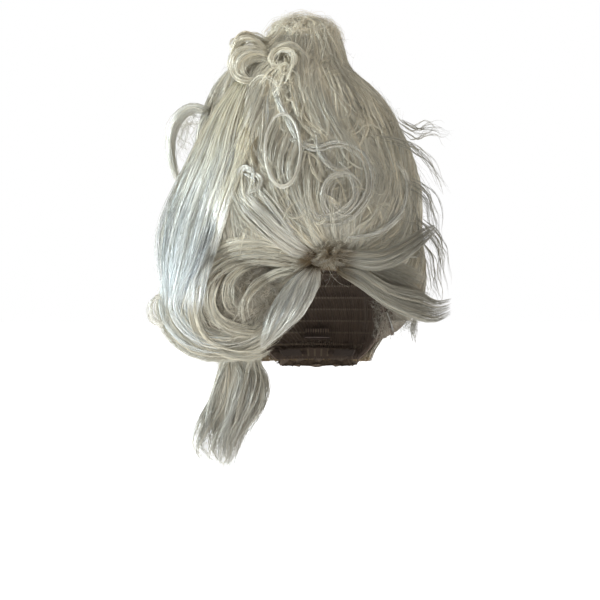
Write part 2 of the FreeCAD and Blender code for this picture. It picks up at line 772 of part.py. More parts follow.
def make_hair():
    """The updo's four panels, and the roll, locks, loops, curls, knot and tail that stand clear of
    them. Each shape that stands outside the panels is cut back to leave a gap."""
    gap = SIZES["hair_gap"]
    head_clear = head_layer("head_clear", "sizes.hair_in")
    roll_form = ellipsoid("roll_form", ROLL_MIDDLE, ROLL_HALF)
    roll_clear = ellipsoid("roll_clear", ROLL_MIDDLE, [half + gap for half in ROLL_HALF])

    outside = stack_loft("updo_form", "updo", len(UPDO), 0)
    hollow = stack_loft("hollow_form", "hollow", len(HOLLOW), 0)
    edge = above_hairline("hair_region", 0)
    below_tail = (SIZES["tail_x"], SIZES["tail_y"], SIZES["tail_swing_z"] - 23)
    tail_space = rod("tail_root_space", "sizes.tail_space_r", below_tail, 62, Rotation())
    shell = cut(
        "updo_shell",
        common("updo_trimmed", outside, edge),
        hollow,
        head_clear,
        roll_clear,
        tail_space,
    )
    for k, name in enumerate(("front", "left", "back", "right")):
        wedge = region(
            f"wedge_{name}",
            [(0, -gap), (FAR, -FAR - gap), (-FAR, -FAR - gap)],
            role="XY_Plane",
        )
        wedge.Placement = Placement(PANELS_MEET, Rotation(Vector(0, 0, 1), 90 * k))
        node(f"hair_{name}_panel", common(f"hair_{name}_panel", shell, wedge))
    node("side_roll", cut("side_roll", roll_form, head_clear))

    keep_out = common(
        "updo_keep_out",
        stack_loft("updo_grown", "updo", len(UPDO), gap),
        above_hairline("hair_region_grown", gap),
    )

    node("forelock", cut("forelock", hang("forelock"), keep_out, roll_clear, head_clear))
    node("wing_upper", cut("wing_upper", hang("wing_upper"), keep_out, head_clear))
    node("wing_lower", cut("wing_lower", hang("wing_lower"), keep_out, head_clear))
    node("side_loop", hang("side_loop"))
    node("sweep_lock", cut("sweep_lock", hang("sweep_lock"), keep_out, roll_clear))
    node("long_sweep", cut("long_sweep", hang("long_sweep"), keep_out, roll_clear))
    front = loop("front_loop_form", *FRONT_LOOP)
    node("front_loop", cut("front_loop", front, keep_out))
    rings("swirl", "swirl_curls", SWIRL_CURLS, keep_out, roll_clear)
    rings("crown_curl", "crown_curls", CROWN_CURLS, keep_out)

    ball = ellipsoid("knot_ball", KNOT_MIDDLE, KNOT_HALF)
    stem_foot = (KNOT_MIDDLE[0], KNOT_MIDDLE[1], SIZES["knot_tie_z"] - 0.4)
    stem = rod("knot_stem", "sizes.knot_tie_r - sizes.tie_cord_r - 0.6", stem_foot, 14, Rotation())
    tie = add("Part::Torus", "knot_tie")
    bind(tie, Radius1="sizes.knot_tie_r", Radius2="sizes.tie_cord_r")
    tie.Placement.Base = Vector(KNOT_MIDDLE[0], KNOT_MIDDLE[1], SIZES["knot_tie_z"])
    node("knot_tie", tie)
    node("top_knot", fuse("top_knot", [ball, stem]))


def make_tail():
    """The hanging tail: a short neck of hair in an elastic tie, which sways, and the length below it."""
    x, y = SIZES["tail_x"], SIZES["tail_y"]
    ball_z, ball_r = SIZES["tail_swing_z"], SIZES["tail_ball_r"]
    cord = SIZES["tie_cord_r"]
    neck_r = SIZES["tail_tie_r"] - cord - 0.5
    neck = rod("tail_neck", f"{neck_r}", (x, y, ball_z + ball_r + 1.0), 15.0, Rotation())
    node("tail_neck", neck)
    tie = add("Part::Torus", "tail_tie")
    bind(tie, Radius1="sizes.tail_tie_r", Radius2="sizes.tie_cord_r")
    tie.Placement.Base = Vector(x, y, ball_z + ball_r + 1.0 + 7.5)
    node("tail_tie", tie)
    ball = ellipsoid("tail_ball", (x, y, ball_z), (ball_r, ball_r, ball_r))
    length = lock(
        "tail_length",
        [
            (x, y, ball_z, 13.5, 13.5 - 0.1),
            (x + 1, y + 4, -72, 28, 17),
            (x, y + 8, -100, 32, 20),
            (x - 8, y + 8, -128, 28, 18),
            (x - 15, y + 6, -156, 24, 15),
            (x - 19, y + 4, -178, 17, 10),
        ],
        (1, 0, 0),
    )
    node("tail_hair", fuse("tail_hair", [ball, length]))


def make_pins():
    """U-shaped hairpins pushed into the panels."""
    pins = []
    half, wire = SIZES["pin_half_gap"], SIZES["pin_wire_r"]
    for k, (x, y, z, way) in enumerate(HAIRPINS):
        legs = [
            rod(f"pin_leg{k}{n}", "sizes.pin_wire_r", (s * half, 0, 0), SIZES["pin_leg"], Rotation())
            for n, s in enumerate((-1, 1))
        ]
        bend = add("Part::Torus", f"pin_bend{k}")
        bend.Radius1, bend.Radius2 = half, wire
        bend.Angle3 = 180
        bend.Placement = Placement(Vector(0, 0, 0), Rotation(Vector(1, 0, 0), -90))
        pin = fuse(f"pin{k}", [*legs, bend])
        across = (0, 0, 1) if abs(way[2]) < 0.35 else (1, 0, 0)
        pin.Placement = frame((x, y, z), Vector(*across).cross(Vector(*way)), way)
        pins.append(pin)
    node("hairpins", together("hairpins", pins))


make_cap()
make_ear_tab("left", 1, 22)
make_ear_tab("right", -1, 0)
make_adjuster()
make_clips()
make_cage()
make_hair()
make_tail()
make_pins()
doc.recompute()

for feature in doc.Objects:
    bad = [word for word in feature.State if word in ("Invalid", "Error")]
    if bad:
        raise RuntimeError(f"{feature.Label} failed: {bad}")
for name, feature in nodes.items():
    if feature.Shape.isNull() or not feature.Shape.isValid() or not feature.Shape.Solids:
        raise RuntimeError(f"{name} is not a valid solid")

os.makedirs("parts", exist_ok=True)
for name, feature in nodes.items():
    feature.Shape.exportStep(f"parts/{name}.step")
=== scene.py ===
"""The costume wig's looks: hair grown strand by strand round the CAD frame, over a net cap with its
bands, tabs, straps, clips and wire cage. Lengths are in millimetres until a mesh is made."""

import json
import math

import bmesh
import bpy
import numpy as np
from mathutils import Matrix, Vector
from mathutils.bvhtree import BVHTree


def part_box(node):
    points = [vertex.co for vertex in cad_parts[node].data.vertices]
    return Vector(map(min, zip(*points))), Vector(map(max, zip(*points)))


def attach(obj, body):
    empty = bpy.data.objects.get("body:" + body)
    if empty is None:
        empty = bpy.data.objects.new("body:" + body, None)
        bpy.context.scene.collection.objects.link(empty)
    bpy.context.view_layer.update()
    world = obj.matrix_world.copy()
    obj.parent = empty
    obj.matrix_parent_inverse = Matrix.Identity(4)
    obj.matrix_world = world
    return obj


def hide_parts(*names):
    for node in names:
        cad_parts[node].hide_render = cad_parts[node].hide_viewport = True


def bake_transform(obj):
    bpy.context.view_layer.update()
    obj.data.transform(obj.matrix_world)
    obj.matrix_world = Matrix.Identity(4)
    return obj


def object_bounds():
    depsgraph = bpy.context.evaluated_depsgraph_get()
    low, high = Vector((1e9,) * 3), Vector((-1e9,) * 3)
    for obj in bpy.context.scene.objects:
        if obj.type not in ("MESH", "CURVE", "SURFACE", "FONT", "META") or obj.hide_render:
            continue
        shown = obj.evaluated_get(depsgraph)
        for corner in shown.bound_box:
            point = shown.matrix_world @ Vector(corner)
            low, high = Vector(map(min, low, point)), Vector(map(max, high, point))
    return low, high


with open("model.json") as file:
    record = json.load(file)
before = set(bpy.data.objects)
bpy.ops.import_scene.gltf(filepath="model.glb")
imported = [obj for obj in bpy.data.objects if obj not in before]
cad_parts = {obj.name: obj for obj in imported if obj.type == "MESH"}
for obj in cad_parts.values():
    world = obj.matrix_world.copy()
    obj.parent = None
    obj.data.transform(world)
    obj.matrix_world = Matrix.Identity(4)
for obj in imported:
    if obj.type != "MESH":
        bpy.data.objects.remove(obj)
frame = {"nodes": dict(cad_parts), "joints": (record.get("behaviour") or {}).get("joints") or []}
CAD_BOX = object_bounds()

MM = 0.001
SIDES = 3  # a strand is a three-sided tube
PIECE_TRIANGLES = 180000  # a piece of hair is split above this
DENSE = 72  # points on a lock's guide curve
FULL_TURN = 2 * math.pi
NODES = frame["nodes"]
rng = np.random.default_rng(20261116)

# ---- reading the frame

END_INSET = 0.02  # the end sections of a lock lie this share of its length inside it
FAR = 400.0  # rays at the updo start this far out
CORE = 40.0  # a hit nearer to the updo's middle line than this is on its inside
TURN_STEP, RISE_STEP = 4.0, 4.0
LEAN_DEPTH, LEAN_HEIGHT = 15, 42  # the hair leans in by this much, over this height
FULLER_DEPTH, FULLER_HEIGHT = 7, 26  # and stands out by this much below the knot


def box(node):
    """Lowest and highest corner of a CAD node, in millimetres."""
    low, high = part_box(node)
    return np.array(low) / MM, np.array(high) / MM


def at(node, share_x, share_y, share_z):
    """A point at these shares of a CAD node's box."""
    low, high = box(node)
    return low + (high - low) * np.array([share_x, share_y, share_z])


def tree(names):
    """A search tree over CAD meshes."""
    verts, faces = [], []
    for name in names:
        mesh = NODES[name].data
        base = len(verts)
        verts += [tuple(v.co / MM) for v in mesh.vertices]
        faces += [[base + i for i in p.vertices] for p in mesh.polygons]
    return BVHTree.FromPolygons(verts, faces)


def sections(node, axis, count):
    """Cuts a CAD lock by planes along an axis and returns each cut's middle, broad half and thin half."""
    low, high = box(node)
    found = []
    for share in np.linspace(END_INSET, 1 - END_INSET, count):
        place, normal = np.zeros(3), np.zeros(3)
        place[axis] = low[axis] + (high[axis] - low[axis]) * share
        normal[axis] = 1
        bm = bmesh.new()
        bm.from_mesh(NODES[node].data)
        every = bm.verts[:] + bm.edges[:] + bm.faces[:]
        cut = bmesh.ops.bisect_plane(bm, geom=every, plane_co=place * MM, plane_no=normal)["geom_cut"]
        points = np.array([tuple(g.co) for g in cut if isinstance(g, bmesh.types.BMVert)]) / MM
        bm.free()
        spread = points - points.mean(0)
        ways = np.linalg.svd(spread, full_matrices=False)[2][:2]
        halves = [way * np.abs(spread @ way).max() for way in ways]
        if found:
            halves = [h * math.copysign(1, h @ last) for h, last in zip(halves, found[-1][1:])]
        found.append(((points.min(0) + points.max(0)) / 2, *halves))
    return found


def rings(node):
    """Middle, normal, the two radius ways and the cord's radius of each ring in a CAD node."""
    mesh = NODES[node].data
    parent = list(range(len(mesh.vertices)))

    def root(i):
        while parent[i] != i:
            parent[i] = parent[parent[i]]
            i = parent[i]
        return i

    seen = {}
    for v in mesh.vertices:
        twin = seen.setdefault(tuple(np.round(np.array(v.co) / MM, 2)), v.index)
        parent[root(v.index)] = root(twin)
    for e in mesh.edges:
        parent[root(e.vertices[0])] = root(e.vertices[1])
    groups = {}
    for v in mesh.vertices:
        groups.setdefault(root(v.index), []).append(tuple(v.co))
    found = []
    for points in groups.values():
        points = np.array(points) / MM
        middle = (points.min(0) + points.max(0)) / 2
        ways = np.linalg.svd(points - points.mean(0), full_matrices=False)[2]
        reach = [np.abs((points - middle) @ way).max() for way in ways]
        found.append((middle, ways[2], ways[0] * reach[0], ways[1] * reach[1], reach[2]))
    return sorted(found, key=lambda ring: (round(ring[0][0]), round(ring[0][1])))


PANELS = ["hair_front_panel", "hair_back_panel", "hair_left_panel", "hair_right_panel"]
UPDO_LOW = min(box(p)[0][2] for p in PANELS)
UPDO_TOP = max(box(p)[1][2] for p in PANELS)
AXIS = np.array([-20.0, 2.0])  # the updo's upright middle line, in plan
KNOT_LOW, KNOT_HIGH = box("top_knot")


def slimmer(turn, rise):
    """How much further in than the CAD the hair lies: it leans in at the top on the wearer's left."""
    lean = np.clip(np.sin(np.radians(turn)), 0, 1) ** 0.6
    return LEAN_DEPTH * lean * np.exp(-(((rise - UPDO_TOP) / LEAN_HEIGHT) ** 2))


def read_updo():
    """The outside radius of the updo, by turn from the front towards +X and by height."""
    whole = tree(PANELS)
    turns = np.arange(0, 360, TURN_STEP)
    rises = np.arange(UPDO_LOW + 2, UPDO_TOP - 1, RISE_STEP)
    radius = np.full((len(rises), len(turns)), np.nan)
    for row, z in enumerate(rises):
        middle = Vector((AXIS[0], AXIS[1], z))
        for column, turn in enumerate(np.radians(turns)):
            way = Vector((math.sin(turn), -math.cos(turn), 0))
            hit = whole.ray_cast(middle + way * FAR, -way)[0]
            if hit is not None and (hit - middle) @ way > CORE:
                radius[row, column] = (hit - middle) @ way
    # a gap takes the radius above it, and so does a front that falls away under the hairline
    for row in range(len(rises) - 2, -1, -1):
        empty = np.isnan(radius[row])
        radius[row][empty] = radius[row + 1][empty]
        fallen = (radius[row] < 0.72 * radius[row + 1]) & ((turns < 115) | (turns > 245))
        radius[row][fallen] = 0.97 * radius[row + 1][fallen]
    for _ in range(3):
        radius = (np.roll(radius, 1, 1) + radius * 2 + np.roll(radius, -1, 1)) / 4
        padded = np.vstack([radius[:1], radius, radius[-1:]])
        radius = (padded[:-2] + 2 * radius + padded[2:]) / 4
    # the hair stands fuller below the knot than the panels, and gathers in to it above them
    fuller = np.clip(1 - np.sin(np.radians(turns)), 0, 1)
    radius += FULLER_DEPTH * np.exp(-(((rises - UPDO_TOP) / FULLER_HEIGHT) ** 2))[:, None] * fuller
    radius -= slimmer(turns, rises[:, None])
    extra = np.arange(1, 9)
    waist = (KNOT_HIGH[0] - KNOT_LOW[0]) / 2
    gather = [radius[-1] * (1 - k / 8) + waist * k / 8 for k in extra]
    rises = np.append(rises, rises[-1] + RISE_STEP * extra)
    return rises, np.vstack([radius, gather])


RISES, RADII = read_updo()


def reach_at(turn, rise):
    """The updo's radius at turns in degrees and heights."""
    column = (turn % 360) / TURN_STEP
    row = np.clip((rise - RISES[0]) / RISE_STEP, 0, len(RISES) - 1.001)
    r0, c0 = np.floor(row).astype(int), np.floor(column).astype(int)
    fr, fc = row - r0, column - c0
    columns = RADII.shape[1]
    c0, c1 = c0 % columns, (c0 + 1) % columns
    low = RADII[r0, c0] * (1 - fc) + RADII[r0, c1] * fc
    high = RADII[r0 + 1, c0] * (1 - fc) + RADII[r0 + 1, c1] * fc
    return low * (1 - fr) + high * fr


def updo(turn, rise, depth):
    """Points on the updo, depth outside its CAD surface."""
    turn, rise, depth = np.broadcast_arrays(turn, rise, depth)
    reach = reach_at(turn, rise) + depth
    angle = np.radians(turn)
    return np.stack([AXIS[0] + reach * np.sin(angle), AXIS[1] - reach * np.cos(angle), rise], -1)


def face(x, z, depth):
    """Points on the front of the updo that seem to be at x and z from straight ahead."""
    x, z, depth = np.broadcast_arrays(x, z, depth)
    turn = np.zeros(x.shape)
    for _ in range(8):
        aside = (x - AXIS[0]) / (reach_at(turn, z) + depth)
        turn = np.degrees(np.arcsin(np.clip(aside, -0.97, 0.97)))
    return updo(turn, z, depth)


ROLL_LOW, ROLL_HIGH = box("side_roll")
ROLL_HALF = (ROLL_HIGH - ROLL_LOW) / 2
ROLL_HALF[0] = 1.17 * ROLL_HALF[2]  # the panels cut the roll's inner side off
ROLL_MIDDLE = np.array([ROLL_LOW[0] + ROLL_HALF[0], *((ROLL_LOW + ROLL_HIGH) / 2)[1:]])
ROLL_EDGE = 1.04  # the roll is left at this ring share, squared


def front(x, z, depth):
    """Points over both the updo and the roll that seem to be at x and z from straight ahead."""
    place = face(x, z, depth)
    ring = ((x - ROLL_MIDDLE[0]) / ROLL_HALF[0]) ** 2 + ((z - ROLL_MIDDLE[2]) / ROLL_HALF[2]) ** 2
    bulge = ROLL_MIDDLE[1] - ROLL_HALF[1] * np.sqrt(np.clip(ROLL_EDGE - ring, 0, 1)) - depth
    y = np.where(ring < ROLL_EDGE, np.minimum(place[..., 1], bulge), place[..., 1])
    return np.stack([np.broadcast_to(x, y.shape), y, np.broadcast_to(z, y.shape)], -1)


# ---- curves

SHARE = np.linspace(0, 1, DENSE)  # along a guide curve
PATCH_WAVE = 5.0  # neighbours on a patch bend together by up to this many degrees
SWIRL_LOWEST = 66.0
SWIRL_REACH = 145.0  # swirls are drawn for this radius of the updo, and narrow with it


def spline(points):
    """A smooth curve through points of shape (..., M, 3), at DENSE even steps."""
    points = np.asarray(points, float)
    last = points.shape[-2] - 1
    x = np.linspace(0, last, DENSE)
    i = np.clip(np.floor(x).astype(int), 0, last - 1)
    f = (x - i)[:, None]
    p0, p1 = points[..., np.maximum(i - 1, 0), :], points[..., i, :]
    p2, p3 = points[..., i + 1, :], points[..., np.minimum(i + 2, last), :]
    square, cube = 2 * p0 - 5 * p1 + 4 * p2 - p3, 3 * p1 - p0 - 3 * p2 + p3
    return 0.5 * (2 * p1 + (p2 - p0) * f + square * f**2 + cube * f**3)


def column(low, high, count):
    """A random number for each of count guides."""
    return rng.uniform(low, high, (count, 1))


def unit(v):
    """The vectors at length one."""
    return v / np.maximum(np.linalg.norm(v, axis=-1, keepdims=True), 1e-9)


def waves(shape, steps, cycles, decay=1.0):
    """Smooth random curves of unit size: shape + (steps, 3)."""
    t = np.linspace(0, 1, steps)
    total = np.zeros(shape + (steps, 3))
    for k in range(1, 4):
        size = rng.normal(size=shape + (1, 3)) / k**decay
        phase = rng.uniform(0, FULL_TURN, size=shape + (1, 3))
        speed = cycles * k * rng.uniform(0.7, 1.3, size=shape + (1, 1))
        total += size * np.sin(FULL_TURN * speed * t[:, None] + phase)
    return total / 1.4


def patch(rows, count):
    """Guide curves on the updo through rows (turn, rise, turn, rise, depth), each a line across the flow."""
    rows = np.array(rows, float)
    share = (np.arange(count) + 0.5 + rng.uniform(-0.5, 0.5, count)) / count
    turn = rows[:, 0] + (rows[:, 2] - rows[:, 0]) * share[:, None]
    rise = rows[:, 1] + (rows[:, 3] - rows[:, 1]) * share[:, None]
    depth = rows[:, 4] + column(-3, 3, count)
    controls = np.stack([turn, rise, np.broadcast_to(depth, turn.shape)], -1)
    turn, rise, depth = np.moveaxis(spline(controls), -1, 0)
    free = np.sin(math.pi * SHARE) ** 0.6
    slow = np.sin(rise / 31 + 2.2 * np.sin(np.radians(turn * 3.0)) + share[:, None])
    quick = np.sin(rise / 14 + turn / 12)
    turn = turn + free * (PATCH_WAVE * slow + 0.3 * PATCH_WAVE * quick)
    depth = depth + free * 2.5 * np.sin(rise / 19 + turn / 7)
    return updo(turn, rise, depth)


def inside(spine, count, fill, spread=1.0):
    """Guide curves that fill a lock given by its sections. spread widens it the broad way."""
    middle, wide, thin = (np.array([s[k] for s in spine]) for k in range(3))
    angle = rng.uniform(0, FULL_TURN, count)
    reach = fill * np.sqrt(rng.uniform(0, 1, count))
    a, b = (reach * np.cos(angle))[:, None, None], (reach * np.sin(angle))[:, None, None]
    return spline(middle[None] + a * wide[None] * spread + b * thin[None])


def ribbon(path, wide, count, depth, open_end, onto):
    """Guide curves side by side along a path of (x, z) places on the front of the hair. open_end is how
    much wider the far end is, and onto puts them on a surface."""
    path = np.array(path, float)
    curve = spline(np.column_stack([path, np.zeros(len(path))]))[:, :2]
    along = unit(np.gradient(curve, axis=0))
    across = np.stack([-along[:, 1], along[:, 0]], -1)
    widen = np.linspace(1, open_end, DENSE)[:, None]
    share = rng.uniform(-1, 1, (count, 1, 1))
    place = curve + share * wide * widen * across + waves((count,), DENSE, 0.7)[..., :2] * wide * 0.25
    return onto(place[..., 0], place[..., 1], depth + rng.normal(0, 1.2, (count, 1)))


def swirls(count, x, z, size, turn, depth):
    """Random arcs on the front of the updo. x, z, size and turn (degrees) are ranges."""
    middle_x, middle_z = column(*x, count), column(*z, count)
    radius, sweep = column(*size, count), np.radians(column(*turn, count))
    start = column(0, FULL_TURN, count)
    angle = start + rng.choice([-1, 1], (count, 1)) * sweep * SHARE
    radius = radius * (1 + column(-0.4, 0.5, count) * SHARE)
    tall = column(1.0, 1.5, count)
    out = depth * column(0.5, 1.3, count) * np.sin(math.pi * np.clip(SHARE + 0.1, 0, 1))
    up = np.maximum(middle_z + radius * tall * np.sin(angle), SWIRL_LOWEST)
    aside = middle_x + radius * np.cos(angle) - AXIS[0]
    return face(AXIS[0] + aside * np.minimum(1, reach_at(90.0, up) / SWIRL_REACH), up, out)


# ---- materials


def feed(links, node, inputs):
    """Sets a node's inputs. A value is a number, a tuple or another node's output."""
    for key, value in inputs.items():
        if isinstance(value, bpy.types.NodeSocket):
            links.new(value, node.inputs[key])
        else:
            node.inputs[key].default_value = value


def add(graph, kind, inputs=None, out=0, **settings):
    """Adds a node to a node tree and returns one of its outputs."""
    node = graph.nodes.new("ShaderNode" + kind)
    for key, value in settings.items():
        setattr(node, key, value)
    feed(graph.links, node, inputs or {})
    return node.outputs[out]


def new_material(name):
    """A new material, its node tree and a call that sets its shader's inputs."""
    material = bpy.data.materials.new(name)
    material.use_nodes = True
    graph = material.node_tree
    return material, graph, lambda inputs: feed(graph.links, graph.nodes["Principled BSDF"], inputs)


def noise_share(graph, fac, low, high):
    """Noise stretched to run from low to high."""
    limits = {"From Min": 0.3, "From Max": 0.7, "To Min": low, "To Max": high}
    return add(graph, "MapRange", {"Value": fac, **limits})


def two_tone(graph, fac, dark, light, places=(0.0, 1.0)):
    """A colour that runs from dark to light."""
    output = add(graph, "ValToRGB", {"Fac": fac})
    for element, colour, place in zip(output.node.color_ramp.elements, (dark, light), places):
        element.position, element.color = place, (*colour, 1)
    return output


def hair_material(name, colour, roughness=0.32, gloss=0.4, streak=0.07):
    """Glossy fibre: each strand's own tint, with faint streaks along it. gloss is its silky share."""
    material, graph, shade = new_material(name)
    where = add(graph, "UVMap", uv_map="OFBake")
    stretched = add(graph, "Mapping", {"Vector": where, "Scale": (210, 130, 1)})
    noise = add(graph, "TexNoise", {"Vector": stretched, "Scale": 1.0, "Detail": 2.0})
    base = add(graph, "RGB")
    base.default_value = (*colour, 1)
    tint = add(graph, "Attribute", attribute_name="tint")
    tinted = add(graph, "VectorMath", {0: base, 1: tint}, operation="MULTIPLY")
    streaks = noise_share(graph, noise, 1 - streak, 1 + streak)
    streaked = add(graph, "VectorMath", {0: tinted, "Scale": streaks}, operation="SCALE")
    shade({"Base Color": streaked, "Roughness": roughness, "Metallic": gloss, "Specular IOR Level": 0.7})
    return material


def woven(name, colour, thread):
    """Cloth or tape: crossing threads, thread millimetres apart, with a soft bump and uneven dye."""
    material, graph, shade = new_material(name)
    where = add(graph, "TexCoord", out="Object")
    spread = add(graph, "Mapping", {"Vector": where, "Scale": (1 / MM / thread,) * 3})
    look = {"Vector": spread, "Scale": 0.5, "Distortion": 0.6}
    ways = [add(graph, "TexWave", look, "Fac", bands_direction=way) for way in ("DIAGONAL", "Z")]
    weave = add(graph, "Math", dict(enumerate(ways)), operation="MAXIMUM")
    dyed = two_tone(graph, weave, [c * 0.45 for c in colour], colour)
    bump = add(graph, "Bump", {"Height": weave, "Strength": 0.5, "Distance": 0.0003})
    shade({"Base Color": dyed, "Normal": bump, "Roughness": 0.75})
    return material


def mottled(name, colour, roughness, metallic=0.0):
    """Wire, enamel or rubber: uneven tone and gloss, worn a little lighter in patches."""
    material, graph, shade = new_material(name)
    where = add(graph, "TexCoord", out="Object")
    noise = add(graph, "TexNoise", {"Vector": where, "Scale": 220.0, "Detail": 4.0})
    worn = [min(1, c * 1.25) for c in colour]
    tone = two_tone(graph, noise, [c * 0.7 for c in colour], worn, (0.3, 0.75))
    gloss = {"Value": noise, "To Min": max(0.05, roughness - 0.12), "To Max": min(1.0, roughness + 0.12)}
    shade({"Base Color": tone, "Roughness": add(graph, "MapRange", gloss), "Metallic": metallic})
    return material


def mass_material():
    """The dense hair under the strands: tint from the mesh, with matted fibres as noise and bump."""
    material, graph, shade = new_material("hair_mass")
    where = add(graph, "TexCoord", out="Object")
    fine = add(graph, "Mapping", {"Vector": where, "Scale": (520, 520, 60)})
    noise = add(graph, "TexNoise", {"Vector": fine, "Scale": 1.0, "Detail": 5.0})
    tint = add(graph, "Attribute", attribute_name="tint")
    matted = noise_share(graph, noise, 0.7, 1.15)
    colour = add(graph, "VectorMath", {0: tint, "Scale": matted}, operation="SCALE")
    bump = add(graph, "Bump", {"Height": noise, "Strength": 0.8, "Distance": 0.002})
    shade({"Base Color": colour, "Normal": bump, "Roughness": 0.7})
    return material


hair_ivory = hair_material("hair_ivory", (0.70, 0.655, 0.53))
# The pale hair is glossier than the ivory, and its lighter colour is painted highlight on the locks that
# should look lit.
hair_pale = hair_material("hair_pale", (0.82, 0.79, 0.69), roughness=0.26, gloss=0.5)
hair_fuzz = hair_material("hair_fuzz", (0.62, 0.57, 0.46), roughness=0.5, gloss=0.15)
hair_mass = mass_material()


# ---- hair

TWIST = 0.5  # radians that a lock may turn about itself
LOOSE_HAIR = 3.5  # how much further a loose strand strays
MEAN_REACH = 100  # the updo's usual radius
LOOSE_STEPS = 11
ROOT_TINT = np.array([0.30, 0.215, 0.12])
PLAIN = (1.0, 1.0, 1.0)


class Hair:
    """Strands that end up as one or more pieces on a body."""

    def __init__(self, name, body="root", material=hair_ivory, replaces=None, slot="hair"):
        self.name, self.body, self.material = name, body, material
        self.replaces, self.slot = replaces, slot
        self.batches = []

    def grow(self, guides, strands, wide, thin=None, steps=17, profile=(0.55, 1.0, 0.85, 0.3), radius=0.3,
             loose=1.2, frizz=0.35, curl=0.0, root=0.0, tone=1.0, out=None, shortest=0.8, latest=0.0,
             stray=0.06, vary=0.1, start=PLAIN, tip=PLAIN):
        """Adds a lock of strands round each guide curve, broad across the surface and thin through it.
        root is how far along a strand the brown of the roots runs, shortest how short a strand may be
        and latest how late it may start, all as shares of the guide. stray is the share of loose
        strands, vary how much the locks' tones differ, and start and tip the tints of the two ends."""
        guides = np.asarray(guides, float)
        locks = len(guides)
        thin = wide * 0.4 if thin is None else thin
        t = np.linspace(0, 1, steps)
        begin = latest * rng.uniform(0, 1, (locks, strands, 1)) ** 1.5
        end = np.maximum(rng.uniform(shortest, 1, (locks, strands, 1)), begin + 0.2)
        place = np.minimum(begin + t * (end - begin), 1) * (DENSE - 1)
        i = np.clip(np.floor(place).astype(int), 0, DENSE - 2)
        f = (place - i)[..., None]
        which = np.arange(locks)[:, None, None]
        path = guides[which, i] * (1 - f) + guides[which, i + 1] * f
        along = unit(np.gradient(path, axis=2))
        if out is None:
            facing = path - np.array([AXIS[0], AXIS[1], 0.0])
            facing[..., 2] = 0
        else:
            facing = np.broadcast_to(np.asarray(out, float), path.shape)
        across = unit(np.cross(along, facing))
        normal = np.cross(across, along)
        spin = rng.uniform(-TWIST, TWIST, (locks, 1, 1)) * t
        angle = rng.uniform(0, FULL_TURN, (locks, strands, 1)) + spin
        reach = np.sqrt(rng.uniform(0, 1, (locks, strands, 1)))
        shape = np.interp(t, np.linspace(0, 1, len(profile)), profile)
        bulk = rng.uniform(0.7, 1.3, (locks, 1, 1))
        a = (reach * np.cos(angle) * shape * bulk)[..., None] * wide
        b = (reach * np.sin(angle) * shape * bulk)[..., None] * thin
        path = path + a * across + b * normal
        ease = (0.25 + 0.75 * t)[:, None]
        astray = np.where(rng.uniform(size=(locks, strands, 1, 1)) < stray, LOOSE_HAIR, 1.0)
        path = path + waves((locks, strands), steps, 0.8, 1.5) * loose * ease * astray
        path = path + waves((locks, strands), steps, 2.5) * frizz * ease * astray
        if curl:
            path = path + waves((locks, 1), steps, 0.9, 1.6) * curl * ease
        shade = rng.normal(1.0, vary, (locks, 1, 1)) * rng.normal(1.0, 0.06, (locks, strands, 1))
        warm = rng.normal(0.0, 0.02, (locks, strands, 1)) + rng.normal(0.0, 0.012, (locks, 1, 1))
        value = tone * np.clip(shade, 0.5, 1.3) * np.ones(steps)
        tint = np.stack([value * (1 + warm), value, value * (1 - 1.4 * warm)], -1)
        tint = tint * (np.array(start) * (1 - t[:, None]) + np.array(tip) * t[:, None])
        if root > 0:
            dark = np.clip(1 - t / root, 0, 1)[:, None] ** 0.8
            tint = tint * (1 - dark) + ROOT_TINT * tint * dark
        size = radius * rng.uniform(0.65, 1.2, (locks, strands, 1)) * (1 - 0.8 * t**4 - 0.5 * (1 - t) ** 12)
        flat = [part.reshape(locks * strands, *part.shape[2:]) for part in (path, size, tint)]
        self.batches.append(tuple(flat))
        return self

    def lay(self, locks, strands, wide, thin=None, depth=4.0, open_end=1.0, onto=face, **look):
        """Grows locks on a surface from a table of half widths, guides and (x, z) places."""
        for half, count, path in locks:
            self.grow(ribbon(path, half, count, depth, open_end, onto), strands, wide, thin, **look)
        return self

    def scatter(self, count, turn, rise, length, lift, radius=0.2, tone=1.0, swirl=1.0, droop=0.4):
        """Adds loose hairs that leave the updo's surface. turn, rise and length are ranges, lift is how
        far out they reach, and a negative droop lets them hang."""
        steps = LOOSE_STEPS
        turns, rises, long = (rng.uniform(*span, count) for span in (turn, rise, length))
        way = unit(rng.normal(size=(count, 2)) + np.array([0.0, droop]))
        t = np.linspace(0, 1, steps)
        bend = rng.normal(0, 1.6 * swirl, (count, 1)) * t
        heading = np.arctan2(way[:, 1], way[:, 0])[:, None] + bend
        step = (long / steps)[:, None]
        sideways = np.cumsum(np.cos(heading) * step, 1)
        upwards = np.cumsum(np.sin(heading) * step, 1)
        out = lift * column(0.2, 1, count) * t**1.3 + 1.0
        around = turns[:, None] + np.degrees(sideways / MEAN_REACH)
        path = updo(around, np.clip(rises[:, None] + upwards, RISES[0], RISES[-1]), out)
        path += waves((count,), steps, 1.5) * 1.5 * t[:, None]
        size = radius * column(0.6, 1.1, count) * (1 - 0.6 * t)
        tint = np.ones((count, steps, 3)) * (tone * rng.normal(1, 0.12, (count, 1, 1)))
        self.batches.append((path, size, tint))
        return self

